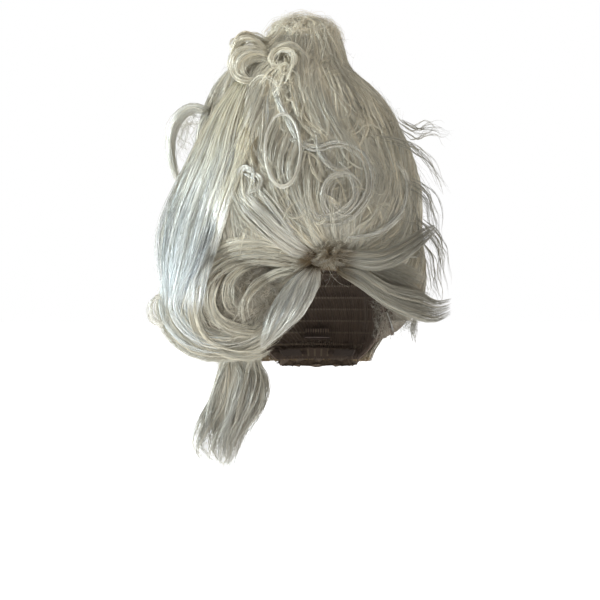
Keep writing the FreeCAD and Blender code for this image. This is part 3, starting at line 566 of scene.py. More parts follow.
    def build(self):
        """Makes the pieces, with at most PIECE_TRIANGLES in each."""
        parcels, held, triangles = [], [], 0
        for path, size, tint in self.batches:
            per_strand = (path.shape[1] - 1) * SIDES * 2 + 2
            start = 0
            while start < len(path):
                room = max(1, (PIECE_TRIANGLES - triangles) // per_strand)
                stop = min(len(path), start + room)
                held.append((path[start:stop], size[start:stop], tint[start:stop]))
                triangles += (stop - start) * per_strand
                start = stop
                if triangles + per_strand > PIECE_TRIANGLES:
                    parcels.append(held)
                    held, triangles = [], 0
        if held:
            parcels.append(held)
        made = []
        for number, parcel in enumerate(parcels):
            piece = tubes(f"{self.name}.{number}" if number else self.name, parcel, self.material)
            if self.body:
                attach(piece, self.body)
            made.append(piece)
        if self.replaces:
            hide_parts(self.replaces)
        return made


def tubes(name, parcel, material):
    """One mesh of closed tubes, with a tint and a map that gives each strand a cell of its own."""
    points, faces, tints = [], [], []
    base, strands_before = 0, 0
    columns = math.ceil(math.sqrt(2 * sum(len(p[0]) for p in parcel)))
    cell = np.array([1 / columns, 2 / columns])
    for path, size, tint in parcel:
        count, steps = path.shape[:2]
        along = unit(np.gradient(path, axis=1))
        first = unit(np.cross(along, unit(rng.normal(size=(count, 1, 3)))))
        second = np.cross(along, first)
        angles = np.arange(SIDES) * 2 * math.pi / SIDES
        ring = first[:, :, None] * np.cos(angles)[:, None] + second[:, :, None] * np.sin(angles)[:, None]
        body = path[:, :, None] + ring * size[:, :, None, None]
        points.append(body.reshape(-1, 3))
        tints.append(np.repeat(tint.reshape(-1, 3), SIDES, 0))
        spans = np.arange(count), np.arange(steps - 1), np.arange(SIDES)
        strand, step, side = np.meshgrid(*spans, indexing="ij")
        corner = base + (strand * steps + step) * SIDES
        here, after = corner + side, corner + (side + 1) % SIDES
        quads = np.stack([here, after, after + SIDES, here + SIDES], -1).reshape(-1, 4)
        number = strands_before + strand
        u0 = (number % columns + 0.1 + 0.8 * side / SIDES) * cell[0]
        u1 = u0 + 0.8 / SIDES * cell[0]
        v0 = (number // columns + 0.05 + 0.9 * step / (steps - 1)) * cell[1]
        v1 = v0 + 0.9 / (steps - 1) * cell[1]
        corners = [np.stack(pair, -1) for pair in ((u0, v0), (u1, v0), (u1, v1), (u0, v1))]
        faces.append((quads, np.stack(corners, -2).reshape(-1, 4, 2)))
        ends = base + np.arange(count)[:, None] * steps * SIDES
        near = ends + np.arange(SIDES)[::-1]
        far = ends + (steps - 1) * SIDES + np.arange(SIDES)
        number = strands_before + np.arange(count)
        for cap, v in ((near, 0.05), (far, 0.95)):
            cap_map = np.zeros((count, SIDES, 2))
            cap_map[..., 0] = ((number % columns + 0.5) * cell[0])[:, None]
            cap_map[..., 1] = ((number // columns + v) * cell[1])[:, None]
            faces.append((cap, cap_map))
        base += count * steps * SIDES
        strands_before += count
    points = np.concatenate(points) * MM
    mesh = bpy.data.meshes.new(name)
    mesh.vertices.add(len(points))
    mesh.vertices.foreach_set("co", points.astype(np.float32).ravel())
    loops = np.concatenate([f.ravel() for f, _ in faces])
    sizes = np.concatenate([np.full(len(f), f.shape[1]) for f, _ in faces])
    mesh.loops.add(len(loops))
    mesh.loops.foreach_set("vertex_index", loops.astype(np.int32))
    mesh.polygons.add(len(sizes))
    mesh.polygons.foreach_set("loop_start", (np.cumsum(sizes) - sizes).astype(np.int32))
    mesh.polygons.foreach_set("loop_total", sizes.astype(np.int32))
    mesh.update(calc_edges=True)
    layer = mesh.uv_layers.new(name="OFBake")
    maps = np.concatenate([m.reshape(-1, 2) for _, m in faces])
    layer.data.foreach_set("uv", maps.astype(np.float32).ravel())
    finish_mesh(mesh, np.concatenate(tints), material)
    obj = bpy.data.objects.new(name, mesh)
    bpy.context.scene.collection.objects.link(obj)
    return obj


def finish_mesh(mesh, tints, material):
    """Gives a mesh its tints, a smooth surface and its material."""
    colours = np.ones((len(mesh.vertices), 4), np.float32)
    colours[:, :3] = tints
    attribute = mesh.attributes.new("tint", "FLOAT_COLOR", "POINT")
    attribute.data.foreach_set("color", colours.ravel())
    mesh.polygons.foreach_set("use_smooth", np.ones(len(mesh.polygons), bool))
    mesh.materials.clear()
    mesh.materials.append(material)


# ---- the CAD pieces, the net and the mass


def dress_cad():
    """Materials for the CAD pieces that are shown as they are."""
    tape = woven("tape", (0.105, 0.072, 0.05), 0.9)
    cloth = woven("tab_cloth", (0.12, 0.08, 0.055), 0.6)
    elastic = woven("ribbed_elastic", (0.08, 0.058, 0.045), 0.7)
    seam = woven("weft_seam", (0.19, 0.145, 0.10), 0.5)
    sleeve = woven("crinoline", (0.58, 0.54, 0.46), 1.8)
    wire = mottled("drawn_wire", (0.58, 0.57, 0.55), 0.32, metallic=1.0)
    enamel = mottled("clip_enamel", (0.07, 0.05, 0.04), 0.38, metallic=0.3)
    pin = mottled("pin_enamel", (0.32, 0.25, 0.17), 0.35, metallic=0.6)
    soft = mottled("grip_strip", (0.20, 0.15, 0.11), 0.6)
    cord = woven("covered_cord", (0.50, 0.46, 0.38), 1.1)
    wears = {
        tape: "front_band nape_band ladder_tape",
        cloth: "ear_tab_left ear_tab_right",
        elastic: "adjuster_strap_left adjuster_strap_right",
        seam: "weft_rows ladder_loops",
        sleeve: "cage_sleeve",
        wire: "cage_rings cage_ribs cage_legs ear_stay_left ear_stay_right",
        enamel: "clip_bases clip_comb_front clip_comb_left clip_comb_right clip_comb_nape "
        "adjuster_hook_left adjuster_hook_right",
        soft: "clip_grips",
        pin: "hairpins",
        cord: "knot_tie tail_tie",
    }
    for material, names in wears.items():
        for name in names.split():
            NODES[name].data.materials.clear()
            NODES[name].data.materials.append(material)


NET_BROWN = (0.085, 0.055, 0.036)
NET_PITCH, CORD_RADIUS = 4.2, 0.38
NET_LIMIT = 64.0  # half the angle from the crown that the cords run down to
NET_STEPS = 60
NET_NEAR = 1.2  # a cord is kept where the CAD net is at least this near
# The mass's colour is darker than the strands: painted shade for the hair deep under them. The brown near
# the cap is partly root colour and partly painted shade.
UNDER_PAINTED_SHADE = (0.40, 0.365, 0.29)
ROOT_AND_SHADE_BROWN = np.array([0.10, 0.07, 0.045])
BROWN_REACH, BROWN_FADE = 1.22, 0.12  # the brown round the cap, in the cap's half-sizes


def make_net():
    """The cap's net: two families of cords that cross, kept where the CAD net is."""
    low, high = box("cap_net")
    half = np.array([(high[0] - low[0]) / 2, high[1], high[2]]) - 0.5
    near = tree(["cap_net"])
    reach = 2 * math.sin(math.radians(NET_LIMIT))
    s = np.linspace(-reach, reach, 240)
    paths = []
    for way in (1, -1):
        for offset in np.arange(-reach, reach, NET_PITCH / half.mean()):
            # a flat grid, folded down over the cap
            x, y = (s + way * offset) / math.sqrt(2), (way * s - offset) / math.sqrt(2) * way
            rho = np.hypot(x, y)
            angle = 2 * np.arcsin(np.clip(rho / 2, 0, 1))
            turn = np.arctan2(y, x)
            ball = np.stack([np.sin(angle) * np.cos(turn), np.sin(angle) * np.sin(turn), np.cos(angle)], -1)
            points = ball * half
            kept = [r < reach and near.find_nearest(Vector(p))[3] < NET_NEAR for p, r in zip(points, rho)]
            edges = np.flatnonzero(np.diff(np.concatenate([[0], np.array(kept, int), [0]])))
            for line in (points[a:b] for a, b in zip(edges[::2], edges[1::2]) if b - a > 4):
                place = np.linspace(0, len(line) - 1, NET_STEPS)
                paths.append([np.interp(place, np.arange(len(line)), line[:, k]) for k in range(3)])
    paths = np.moveaxis(np.array(paths), 1, -1)
    size = np.full(paths.shape[:2], CORD_RADIUS)
    tint = np.ones(paths.shape) * rng.normal(1, 0.12, (len(paths), 1, 1))
    material = hair_material("net_cord", NET_BROWN, roughness=0.7, gloss=0.0, streak=0.3)
    net = tubes("cap_net_cords", [(paths, size, tint)], material)
    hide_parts("cap_net")
    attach(net, "root")


def make_mass(name, nodes, body, voxel, shrink, rooted=False, grooves=0.0, length=1.0):
    """A remeshed, shrunken copy of CAD solids that stops light coming through the strands. Its colour,
    darker than the strands', is painted shade. If rooted it is brown near the cap, partly root colour and
    partly painted shade on the hidden inner side, and browner towards its bottom as painted shade. grooves
    is how deep its combed grooves are, and length is the share of its height that it keeps."""
    bpy.ops.object.select_all(action="DESELECT")
    for node in nodes:
        obj = bpy.data.objects.new("tmp_" + node, NODES[node].data.copy())
        bpy.context.scene.collection.objects.link(obj)
        obj.select_set(True)
        if node == nodes[0]:
            bpy.context.view_layer.objects.active = obj
    if len(nodes) > 1:
        bpy.ops.object.join()
    obj = bpy.context.view_layer.objects.active
    obj.name = obj.data.name = name
    obj.data.remesh_voxel_size = voxel * MM
    bpy.ops.object.voxel_remesh()
    mesh = obj.data
    count = len(mesh.vertices)
    read = []
    for key in ("co", "normal"):
        values = np.zeros(count * 3, np.float32)
        mesh.vertices.foreach_get(key, values)
        read.append(values.reshape(-1, 3).astype(float))
    points, normals = read[0] / MM, read[1]
    push = np.full(count, -shrink)
    if grooves:
        turn = np.arctan2(points[:, 0] - AXIS[0], -(points[:, 1] - AXIS[1]))
        push -= slimmer(np.degrees(turn), points[:, 2])
        for k in range(1, 5):
            wobble = 0.5 * np.sin(points[:, 2] / (23.0 * k) + 2.1 * k)
            push += grooves / k * np.sin(turn * (17 * k + 6) + wobble * 2 + k)
    points = points + normals * push[:, None]
    top = points[:, 2].max()
    points[:, 2] = top + (points[:, 2] - top) * length
    mesh.vertices.foreach_set("co", (points * MM).astype(np.float32).ravel())
    # Painted shade: the mass is darker than the strands. If rooted it is browned near the cap, partly as
    # root colour and partly as shade, and browned below 10 mm as shade underneath.
    tint = np.tile(np.array(UNDER_PAINTED_SHADE, np.float32), (count, 1))
    if rooted:
        head = points / box("cap_net")[1]
        near = np.clip((BROWN_REACH - np.linalg.norm(head, axis=1)) / BROWN_FADE, 0, 1)[:, None]
        near = np.maximum(near, np.clip((10 - points[:, 2:]) / 30, 0, 0.8))
        tint = tint * (1 - near) + ROOT_AND_SHADE_BROWN * near
    finish_mesh(mesh, tint, hair_mass)
    mesh.update()
    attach(obj, body)


# ---- the updo

SOFT = dict(loose=1.0, frizz=0.14)
# A warm olive tint for the shaded locks on the face: painted shade.
OLIVE_SHADE = (1.0, 0.93, 0.76)


def make_updo():
    """The four panels: a soft base combed up from the edge of the cap to the knot."""
    make_mass("updo_mass", PANELS, "root", 4.0, 3.0, rooted=True, grooves=0.8)
    line = box("hair_front_panel")[0][2]
    middle = [(2, line + 8, 46, line - 2, -1), (-30, line + 60, 62, line + 40, 3),
              (-44, line + 128, 68, line + 100, 4), (-44, 236, 62, 226, 3), (-36, 286, 52, 286, 3),
              (-34, 318, 52, 318, -1)]
    beside = [(-60, line + 16, 2, line + 6, 0), (-56, line + 70, -8, line + 70, 3), (-54, 190, -10, 190, 3),
              (-52, 240, -10, 240, 3), (-50, 290, -16, 292, 2), (-50, 318, -20, 318, -1)]
    left = [(42, 46, 128, -14, -1), (56, 92, 126, 50, 2), (62, 160, 128, 140, 3), (58, 228, 128, 224, 3),
            (48, 284, 128, 284, 3), (40, 318, 128, 318, -1)]
    back = [(122, -54, 238, -54, -2), (124, 10, 236, 10, 2), (126, 100, 234, 100, 3),
            (130, 200, 230, 200, 3), (130, 282, 230, 282, 3), (130, 318, 230, 318, -1)]
    right = [(232, -18, 310, 62, -1), (234, 50, 304, 92, 2), (234, 140, 302, 150, 3),
             (232, 224, 302, 228, 3), (232, 284, 306, 284, 3), (232, 318, 310, 318, -1)]
    # rows across the flow, locks, strands in a lock, half width and look
    sheets = {
        "hair_front_panel": [
            (middle, 175, 21, 4.5, dict(steps=18, root=0.07, curl=2.5, tone=0.9)),
            (beside, 70, 20, 4.5, dict(root=0.05, curl=2.5, tone=0.9)),
        ],
        "hair_left_panel": [(left, 120, 20, 5.0, dict(root=0.12, curl=2.5, tone=0.92))],
        "hair_back_panel": [(back, 130, 19, 5.0, dict(root=0.1, curl=4.0, tone=0.92))],
        "hair_right_panel": [(right, 110, 20, 5.0, dict(curl=3.0, tone=0.95))],
    }
    for node, parts in sheets.items():
        hair = Hair(f"{node}_strands", replaces=node)
        for rows, count, strands, wide, look in parts:
            hair.grow(patch(rows, count), strands, wide, **look, **SOFT)
        hair.build()


# Soft locks over the face of the updo: half width, guides, (x, z) places from root to tip.
ROOT_LOCKS = [
    (10, 27, [(20, 62), (2, 84), (-14, 112), (-22, 146), (-34, 176)]),
    (12, 30, [(24, 62), (18, 94), (26, 132), (22, 172), (4, 214)]),
    (12, 30, [(26, 62), (48, 88), (70, 114), (84, 152), (74, 204)]),
    (9, 24, [(26, 62), (60, 74), (88, 96), (100, 132), (94, 172)]),
    (8, 21, [(10, 62), (-22, 92), (-52, 116), (-66, 150), (-70, 190)]),
    (7, 18, [(4, 60), (-30, 80), (-62, 92), (-84, 112), (-96, 150)]),
]
# The same, for locks that fall from the crown.
CROWN_LOCKS = [
    (4, 15, [(-78, 246), (-64, 262), (-48, 254), (-41, 232), (-39, 206), (-46, 180)]),
    (8, 21, [(-50, 266), (-58, 240), (-70, 216), (-74, 190), (-64, 162), (-46, 148)]),
    (5, 15, [(-6, 292), (-13, 262), (-9, 235), (-2, 202), (6, 176)]),
    (7, 18, [(8, 288), (18, 252), (22, 220), (34, 192), (44, 160), (40, 138)]),
    (8, 21, [(20, 292), (34, 262), (45, 230), (57, 196), (62, 156)]),
    (8, 21, [(32, 290), (50, 256), (66, 216), (80, 172), (86, 126), (96, 96)]),
    (4, 12, [(-2, 294), (6, 262), (24, 236), (48, 212), (74, 188)]),
    (3, 9, [(-22, 250), (-6, 272), (18, 280), (44, 270)]),
    (3, 9, [(-8, 244), (8, 262), (30, 274), (48, 262)]),
    (5, 15, [(-30, 282), (-24, 244), (-14, 214), (8, 192), (20, 168)]),
    (5, 15, [(-48, 284), (-70, 262), (-92, 236), (-104, 204), (-110, 170)]),
]
# Curved locks that lie over the rest and catch the light; they are in the pale hair, whose lighter colour is
# painted highlight.
BRIGHT_LOCKS = [
    (4, 15, [(-32, 196), (-6, 182), (24, 188), (50, 172), (54, 136), (30, 106), (-2, 104), (-26, 124)]),
    (3, 12, [(20, 166), (34, 150), (38, 130), (26, 114), (6, 108), (-10, 116)]),
    (3, 12, [(-2, 198), (0, 180), (10, 164), (28, 156)]),
    (3, 12, [(-60, 176), (-58, 214), (-56, 252)]),
    (3, 12, [(-22, 190), (-34, 214), (-46, 240), (-48, 262)]),
    (4, 12, [(-96, 150), (-84, 158), (-66, 150), (-70, 138), (-88, 136)]),
    (4, 12, [(-26, 88), (-44, 112), (-60, 132), (-70, 142)]),
    (3, 9, [(30, 84), (66, 92), (92, 116), (98, 150), (84, 176)]),
]
# Shaded hair that shows between the locks.
SHADE_LOCKS = [
    (3, 15, [(-80, 262), (-91, 242), (-95, 215), (-90, 178)]),
    (3, 12, [(-66, 196), (-72, 178), (-66, 160)]),
    (3, 12, [(-20, 236), (-16, 216), (-4, 196)]),
]
# Locks at the inner edge of the long sweep.
SWEEP_LOCKS = [
    (12, 48, [(-84, 232), (-98, 196), (-112, 158), (-121, 118), (-129, 80), (-138, 40), (-144, 6)]),
    (8, 36, [(-78, 206), (-90, 168), (-103, 130), (-112, 98), (-122, 66), (-130, 36), (-134, 4)]),
]
# Locks over the roll.
ROLL_LOCKS = [
    (7, 36, [(-14, 60), (-34, 71), (-66, 77), (-98, 74), (-122, 60), (-138, 36), (-146, 6), (-138, -24)]),
    (5, 24, [(-12, 56), (-36, 60), (-70, 63), (-98, 56), (-118, 38), (-126, 10), (-116, -14)]),
    (4, 18, [(-104, 52), (-116, 24), (-112, 2), (-96, -12), (-70, -17), (-56, -8)]),
    (5, 21, [(-128, 40), (-136, 6), (-125, -25), (-100, -40), (-70, -43), (-50, -34)]),
    (4, 9, [(-20, 52), (-46, 46), (-70, 30), (-80, 8), (-74, -12)]),
    (4, 9, [(-60, 60), (-84, 52), (-98, 34), (-96, 14), (-84, 4)]),
]
# Thin dark wisps: spread, guides, (x, y, z) places from the updo outwards.
WISPS = [
    (2.5, 9, [(66, -84, 196), (96, -72, 190), (122, -62, 172), (142, -56, 134)]),
    (4.0, 10, [(88, -62, 214), (108, -54, 204), (126, -50, 208), (146, -46, 200)]),
    (4.0, 10, [(96, -60, 150), (116, -52, 140), (129, -48, 112), (134, -46, 70)]),
    (4.0, 10, [(112, -50, 110), (132, -46, 92), (143, -44, 62), (146, -42, 26)]),
    (3.0, 6, [(104, -54, 92), (124, -50, 66), (130, -48, 36), (136, -46, 12)]),
]


def make_locks_on_face():
    """Locks over the soft base: from the root at the parting, from the crown, and loose curls."""
    rooted = Hair("face_locks_root")
    rooted.lay(ROOT_LOCKS, 11, 2.4, open_end=1.8, root=0.16, curl=3.0, shortest=0.5, **SOFT).build()
    fallen = Hair("face_locks_crown")
    fallen.lay(CROWN_LOCKS, 10, 2.0, depth=6.0, open_end=1.5, loose=1.0, frizz=0.15, curl=2.0, tone=1.12,
               shortest=0.5, latest=0.25).build()
    shaded = Hair("face_locks_shaded", material=hair_fuzz)
    shaded.lay(SHADE_LOCKS, 8, 1.4, depth=7.5, loose=1.5, frizz=0.3, tone=0.6, shortest=0.5, latest=0.4,
               start=OLIVE_SHADE, tip=OLIVE_SHADE).build()
    bright = Hair("face_locks_bright", material=hair_pale, slot="hair_pale")
    bright.lay(BRIGHT_LOCKS, 6, 0.9, depth=8.0, open_end=1.3, radius=0.25, loose=0.7, frizz=0.08, curl=1.2,
               tone=0.92, shortest=0.6, latest=0.3).build()
    curls = Hair("face_curls")
    short = dict(shortest=0.4, latest=0.4)
    guides = swirls(110, (-70, 84), (92, 268), (10, 34), (100, 320), 8.0)
    curls.grow(guides, 8, 1.6, radius=0.25, loose=1.4, frizz=0.3, tone=1.12, **short)
    guides = swirls(34, (-88, -36), (252, 288), (8, 20), (120, 300), 14.0)
    curls.grow(guides, 6, 1.8, radius=0.23, loose=1.2, frizz=0.2, tone=1.3, **short)
    guides = swirls(130, (-70, 96), (70, 280), (12, 46), (60, 220), 6.0)
    curls.grow(guides, 9, 3.0, radius=0.25, loose=2.2, frizz=0.4, tone=0.94, **short)
    curls.build()


def make_fuzz():
    """Teased short hairs over the surface, and flyaways that stand off it."""
    everywhere = (-180, 180)
    fuzz = Hair("updo_fuzz", material=hair_fuzz)
    fuzz.scatter(2700, (-72, 104), (66, 292), (14, 60), 8, tone=1.2, swirl=1.6)
    fuzz.scatter(900, (104, 288), (-20, 292), (18, 70), 6, swirl=1.3)
    fuzz.build()
    fly = Hair("updo_flyaways", material=hair_pale)
    fly.scatter(420, everywhere, (40, 296), (30, 90), 14, radius=0.17, swirl=1.4)
    fly.scatter(260, everywhere, (280, 316), (20, 60), 16, radius=0.17, swirl=1.6)
    for side in ((66, 112), (248, 294)):
        fly.scatter(260, side, (60, 290), (40, 110), 20, radius=0.14, swirl=1.2)
    fly.scatter(120, (74, 104), (70, 215), (50, 120), 30, radius=0.17, tone=0.42, droop=-1.2)
    fly.build()


# ---- locks

ROOT_AT = (at("wing_upper", 0, 0.2, 0.3) + at("forelock", 1, 0.4, 1)) / 2  # where the locks part
AHEAD = (0, -1, 0)
TOWARD = (0, -1, 0.1)
# Warm tint for the root end of the long sweep, where it comes out from under the curls: painted shade.
CREAM_SHADE = (1.0, 0.96, 0.84)
SMOOTH = dict(loose=0.9, frizz=0.1)


def ease_out(reach, power):
    """A share for each point of a guide that falls from one to nothing over the first of reach parts."""
    return np.clip(1 - np.linspace(0, reach, DENSE), 0, 1)[None, :, None] ** power


def from_root(guides):
    """The guides with their starts drawn together at the parting."""
    heart = guides[:, :1].mean(0, keepdims=True)
    begin = heart + (guides[:, :1] - heart) * 0.35 + (ROOT_AT - heart) * 0.35
    return guides + (begin - guides[:, :1]) * ease_out(6, 1.6)


def make_forelock():
    """The short lock over the brow, drawn together towards its tip."""
    guides = inside(sections("forelock", 2, 8)[::-1], 70, 0.95, 1.35)
    heart = guides.mean(0, keepdims=True)
    guides = heart + (guides - heart) * (1 - 0.75 * SHARE[None, :, None] ** 3)
    lock = Hair("forelock_strands", "forelock", hair_pale, "forelock", "hair_pale")
    lock.grow(from_root(guides), 12, 3.4, 1.0, profile=(0.9, 1.0, 0.9, 0.3), root=0.14, out=TOWARD,
              tone=0.74, shortest=0.55, vary=0.16, **SMOOTH).build()


def make_wings():
    """The two locks that sweep to the wearer's left."""
    for name, spread in (("wing_upper", 1.15), ("wing_lower", 1.25)):
        guides = from_root(inside(sections(name, 0, 8), 60, 0.95, spread))
        wing = Hair(f"{name}_strands", name, hair_ivory, name)
        # tone=0.54 is painted shade: the wings' strands are coloured darker than the rest of the hair, as
        # shade on the wearer's left.
        wing.grow(guides, 10, 2.6, 0.9, profile=(0.8, 1.0, 0.7, 0.15), root=0.2, out=TOWARD, tone=0.54,
                  shortest=0.62, vary=0.16, **SMOOTH).build()


def make_parting():
    """Brown roots that fan out from where the locks part."""
    count = 110
    angle = column(0, FULL_TURN, count)
    way = np.stack([np.cos(angle) * 24, column(-5, 1, count), np.sin(angle) * 15], -1)[:, 0]
    place = ROOT_AT + np.array([0, 4.0, 8.0]) + rng.normal(0, 3.5, (count, 3))
    path = np.stack([place + way * k + rng.normal(0, 2.0, (count, 3)) for k in (0.05, 0.4, 0.8, 1.2)], 1)
    nest = Hair("parting_roots")
    nest.grow(spline(path), 7, 2.5, steps=14, radius=0.22, loose=1.6, frizz=0.4, root=1.3, out=TOWARD,
              tone=0.8, shortest=0.4).build()


def make_wing_sheet():
    """Shaded hair that fans out behind and between the two wings."""
    near, low, high = at("wing_lower", 0.0, 0.9, 1.0), *box("wing_lower")
    top = box("wing_upper")[1]
    count = 26
    share = column(0, 1, count)
    tip = [
        low[0] + (0.62 + 0.26 * column(0, 1, count)) * (high[0] - low[0]),
        high[1] + column(-22, -4, count),
        low[2] - 10 + share * 0.55 * (top[2] - low[2]),
    ]
    tip = np.concatenate(tip, 1)
    start = near + np.array([4.0, 8.0, 12.0]) + rng.normal(0, 2.5, (count, 3))
    bulge = (start + tip) / 2 + np.array([2.0, -14.0, 0.0]) + (share - 0.6) * np.array([0, 0, 14.0])
    sheet = Hair("wing_sheet_strands")
    sheet.grow(spline(np.stack([start, bulge, tip], 1)), 34, 5.0, 2.5, profile=(0.6, 1.0, 1.0, 0.6),
               loose=1.2, frizz=0.2, root=0.25, out=TOWARD, tone=0.55, shortest=0.6).build()


def make_sweeps():
    """The bright lock that climbs from the parting, and the long sheet down the wearer's right."""
    guides = from_root(inside(sections("sweep_lock", 0, 7)[::-1], 48, 0.95, 1.2))
    sweep = Hair("sweep_lock_strands", "root", hair_pale, "sweep_lock", "hair_pale")
    sweep.grow(guides, 13, 1.7, 1.4, profile=(0.9, 1.0, 0.9, 0.4), loose=1.0, frizz=0.1, root=0.14,
               out=TOWARD, tone=0.9).build()
    # the sheet comes out from under the crown curls
    guides = inside(sections("long_sweep", 2, 10)[::-1], 170, 0.95, 1.6)
    heart = guides[:, :1].mean(0, keepdims=True)
    under = heart + (guides[:, :1] - heart) * 0.5 + np.array([14.0, -2.0, 14.0])
    guides = guides + (under - guides[:, :1]) * ease_out(4, 1.5)
    falling = Hair("long_sweep_strands", "root", hair_pale, "long_sweep", "hair_pale")
    # The long sweep is painted warm cream at its root as shade, and bluer towards its tips as painted
    # highlight.
    shared = dict(loose=0.9, frizz=0.08, start=CREAM_SHADE, vary=0.2)
    falling.grow(guides, 13, 7.0, 1.6, steps=20, profile=(0.5, 1.0, 1.0, 0.4), curl=2.5,
                 out=(-0.6, -1, 0.1), shortest=0.6, latest=0.14, tip=(1.04, 1.13, 1.26), **shared)
    # These locks lie where the sheet's inner edge falls in shade. tone=1.2 paints light on them, and their
    # bluer tips are painted highlight.
    falling.lay(SWEEP_LOCKS, 10, 3.0, 1.2, 8.0, 1.3, front, steps=19, curl=2.0, out=(-0.4, -1, 0.1),
                tone=1.2, shortest=0.5, latest=0.3, tip=(1.06, 1.12, 1.22), **shared)
    falling.build()


def make_wisps():
    """Dark wisps that leave the updo on the wearer's left, short brown hair below the wings, and the
    thin looping ends of the long sweep."""
    wisps = Hair("left_wisps")
    for wide, count, path in WISPS:
        guides = spline(np.array(path, float))[None] + rng.normal(0, wide, (count, 1, 3))
        guides = guides + waves((count,), DENSE, 1.2) * wide * np.linspace(0, 1.4, DENSE)[:, None]
        wisps.grow(guides, 5, 0.9, radius=0.2, loose=1.0, frizz=0.3, out=TOWARD, tone=0.5, shortest=0.5,
                   latest=0.3)
    wisps.scatter(500, (52, 92), (-14, 26), (14, 34), 6, tone=0.42, droop=-0.8).build()
    middle = at("long_sweep", -0.10, 0.35, 0.02)
    guides = ring_guides(middle, np.array([9.0, 0, 2.0]), np.array([-2.0, 0, 15.0]), 9, 6.0, 300, 60)
    ends = Hair("long_sweep_ends", material=hair_pale, slot="hair_pale")
    ends.grow(guides, 6, 1.0, radius=0.2, loose=1.5, frizz=0.3, out=TOWARD).build()


# ---- the roll

ROLL_OUT = (-0.2, -1, 0)


def wound(count, ring, first, last, shrink):
    """Arcs wound on the roll. ring is their share of its radius; first and last are degrees."""
    t = np.linspace(0, 1, 9)
    ring = column(*ring, count) * (1 - shrink * t)
    begin = first + rng.normal(0, 16, (count, 1))
    angle = np.radians(begin + (last - first) * t)
    spread = np.minimum(ring, 1.9) * math.pi / 2
    depth = 1.0 + column(-0.05, 0.03, count)
    aside = rng.normal(0, 3.5, (count, 1))
    x = ROLL_MIDDLE[0] + aside + ROLL_HALF[0] * np.sin(spread) * np.cos(angle) * depth
    y = ROLL_MIDDLE[1] - ROLL_HALF[1] * np.cos(spread) * depth
    z = ROLL_MIDDLE[2] + aside * 0.6 + ROLL_HALF[2] * np.sin(spread) * np.sin(angle) * depth
    return np.stack([x, y, z], -1)


def make_roll():
    """The big roll: strands from the hairline that run over it, round its far side and back under."""
    make_mass("side_roll_mass", ["side_roll"], "root", 4.0, 4.0, rooted=True)
    roll = Hair("side_roll_strands", replaces="side_roll")
    shared = dict(steps=19, loose=1.2, frizz=0.15, curl=2.5, out=ROLL_OUT)
    outer = wound(130, (0.62, 1.3), 42, 318, 0.2)
    begin = at("forelock", 0.85, 0.7, 1.12) + rng.normal(0, 3, (len(outer), 1, 3))
    roll.grow(spline(np.concatenate([begin, outer], 1)), 14, 4.5, 2.4, root=0.07, tone=0.82, **shared)
    roll.grow(spline(wound(50, (0.45, 0.95), 150, 335, 0.3)), 12, 3.5, 2.4, tone=0.84, **shared)
    roll.grow(spline(wound(80, (1.2, 1.85), 30, 340, 0.0)), 11, 6.5, 2.0, tone=0.82, **shared)
    roll.lay(ROLL_LOCKS, 9, 2.2, 1.0, 5.0, 1.6, front, steps=18, loose=1.0, frizz=0.1, curl=1.5,
             root=0.12, out=AHEAD, tone=0.92, shortest=0.35, latest=0.2, vary=0.15)
    roll.build()

    bright = Hair("side_roll_bright", material=hair_pale, slot="hair_pale")
    arcs = wound(26, (0.5, 1.0), 150, 335, 0.1) + np.array([0, -3.0, 0])
    bright.grow(spline(arcs), 6, 1.0, out=ROLL_OUT, shortest=0.5, latest=0.3, **SMOOTH)
    # The falls are painted lighter (tone=1.1) and bluer at their tips: painted highlight on the sweep's ends
    # that hang over the roll.
    falls = wound(80, (0.5, 1.0), 122, 268, 0.15) + np.array([-4.0, -4.0, 0])
    bright.grow(spline(falls), 10, 2.4, loose=1.0, frizz=0.1, out=ROLL_OUT, tone=1.1, shortest=0.4,
                latest=0.3, tip=(0.96, 1.05, 1.18))
    bright.build()

    # teased hair that drifts over the roll's face
    count = 70
    angle, reach = column(0, FULL_TURN, count), np.sqrt(column(0, 0.75, count))
    heart = np.concatenate([reach * np.cos(angle), reach * np.sin(angle)], 1)
    drift = np.cumsum(rng.normal(0, 0.13, (count, 6, 2)), 1) + heart[:, None]
    drift *= np.minimum(1, 0.85 / np.maximum(np.linalg.norm(drift, axis=-1, keepdims=True), 0.01))
    height = np.sqrt(1 - (drift**2).sum(-1)) * 0.97
    mats = ROLL_MIDDLE + np.stack([drift[..., 0], -height, drift[..., 1]], -1) * ROLL_HALF
    fuzz = Hair("side_roll_fuzz", material=hair_fuzz)
    fuzz.grow(spline(mats), 17, 7.0, 2.5, radius=0.19, loose=4.0, frizz=0.9, curl=4.0, out=ROLL_OUT,
              shortest=0.4).build()


# ---- curls and loops


def ring_guides(middle, first, second, count, cord, sweep=360.0, start=0.0, coil=0.0):
    """Guide curves along a ring given by its two radius ways. coil is how far they wind inwards."""
    offset = rng.normal(0, cord * 0.4, (count, 1, 3))
    size = rng.uniform(0.86, 1.04, (count, 1, 1)) * (1 - coil * SHARE[:, None])
    turn = column(0, FULL_TURN, count) if sweep >= 360 else rng.normal(0, 0.2, (count, 1))
    angle = np.radians(start + sweep * SHARE) + turn
    c, s = np.cos(angle)[..., None], np.sin(angle)[..., None]
    return middle + (c * first + s * second) * size + offset


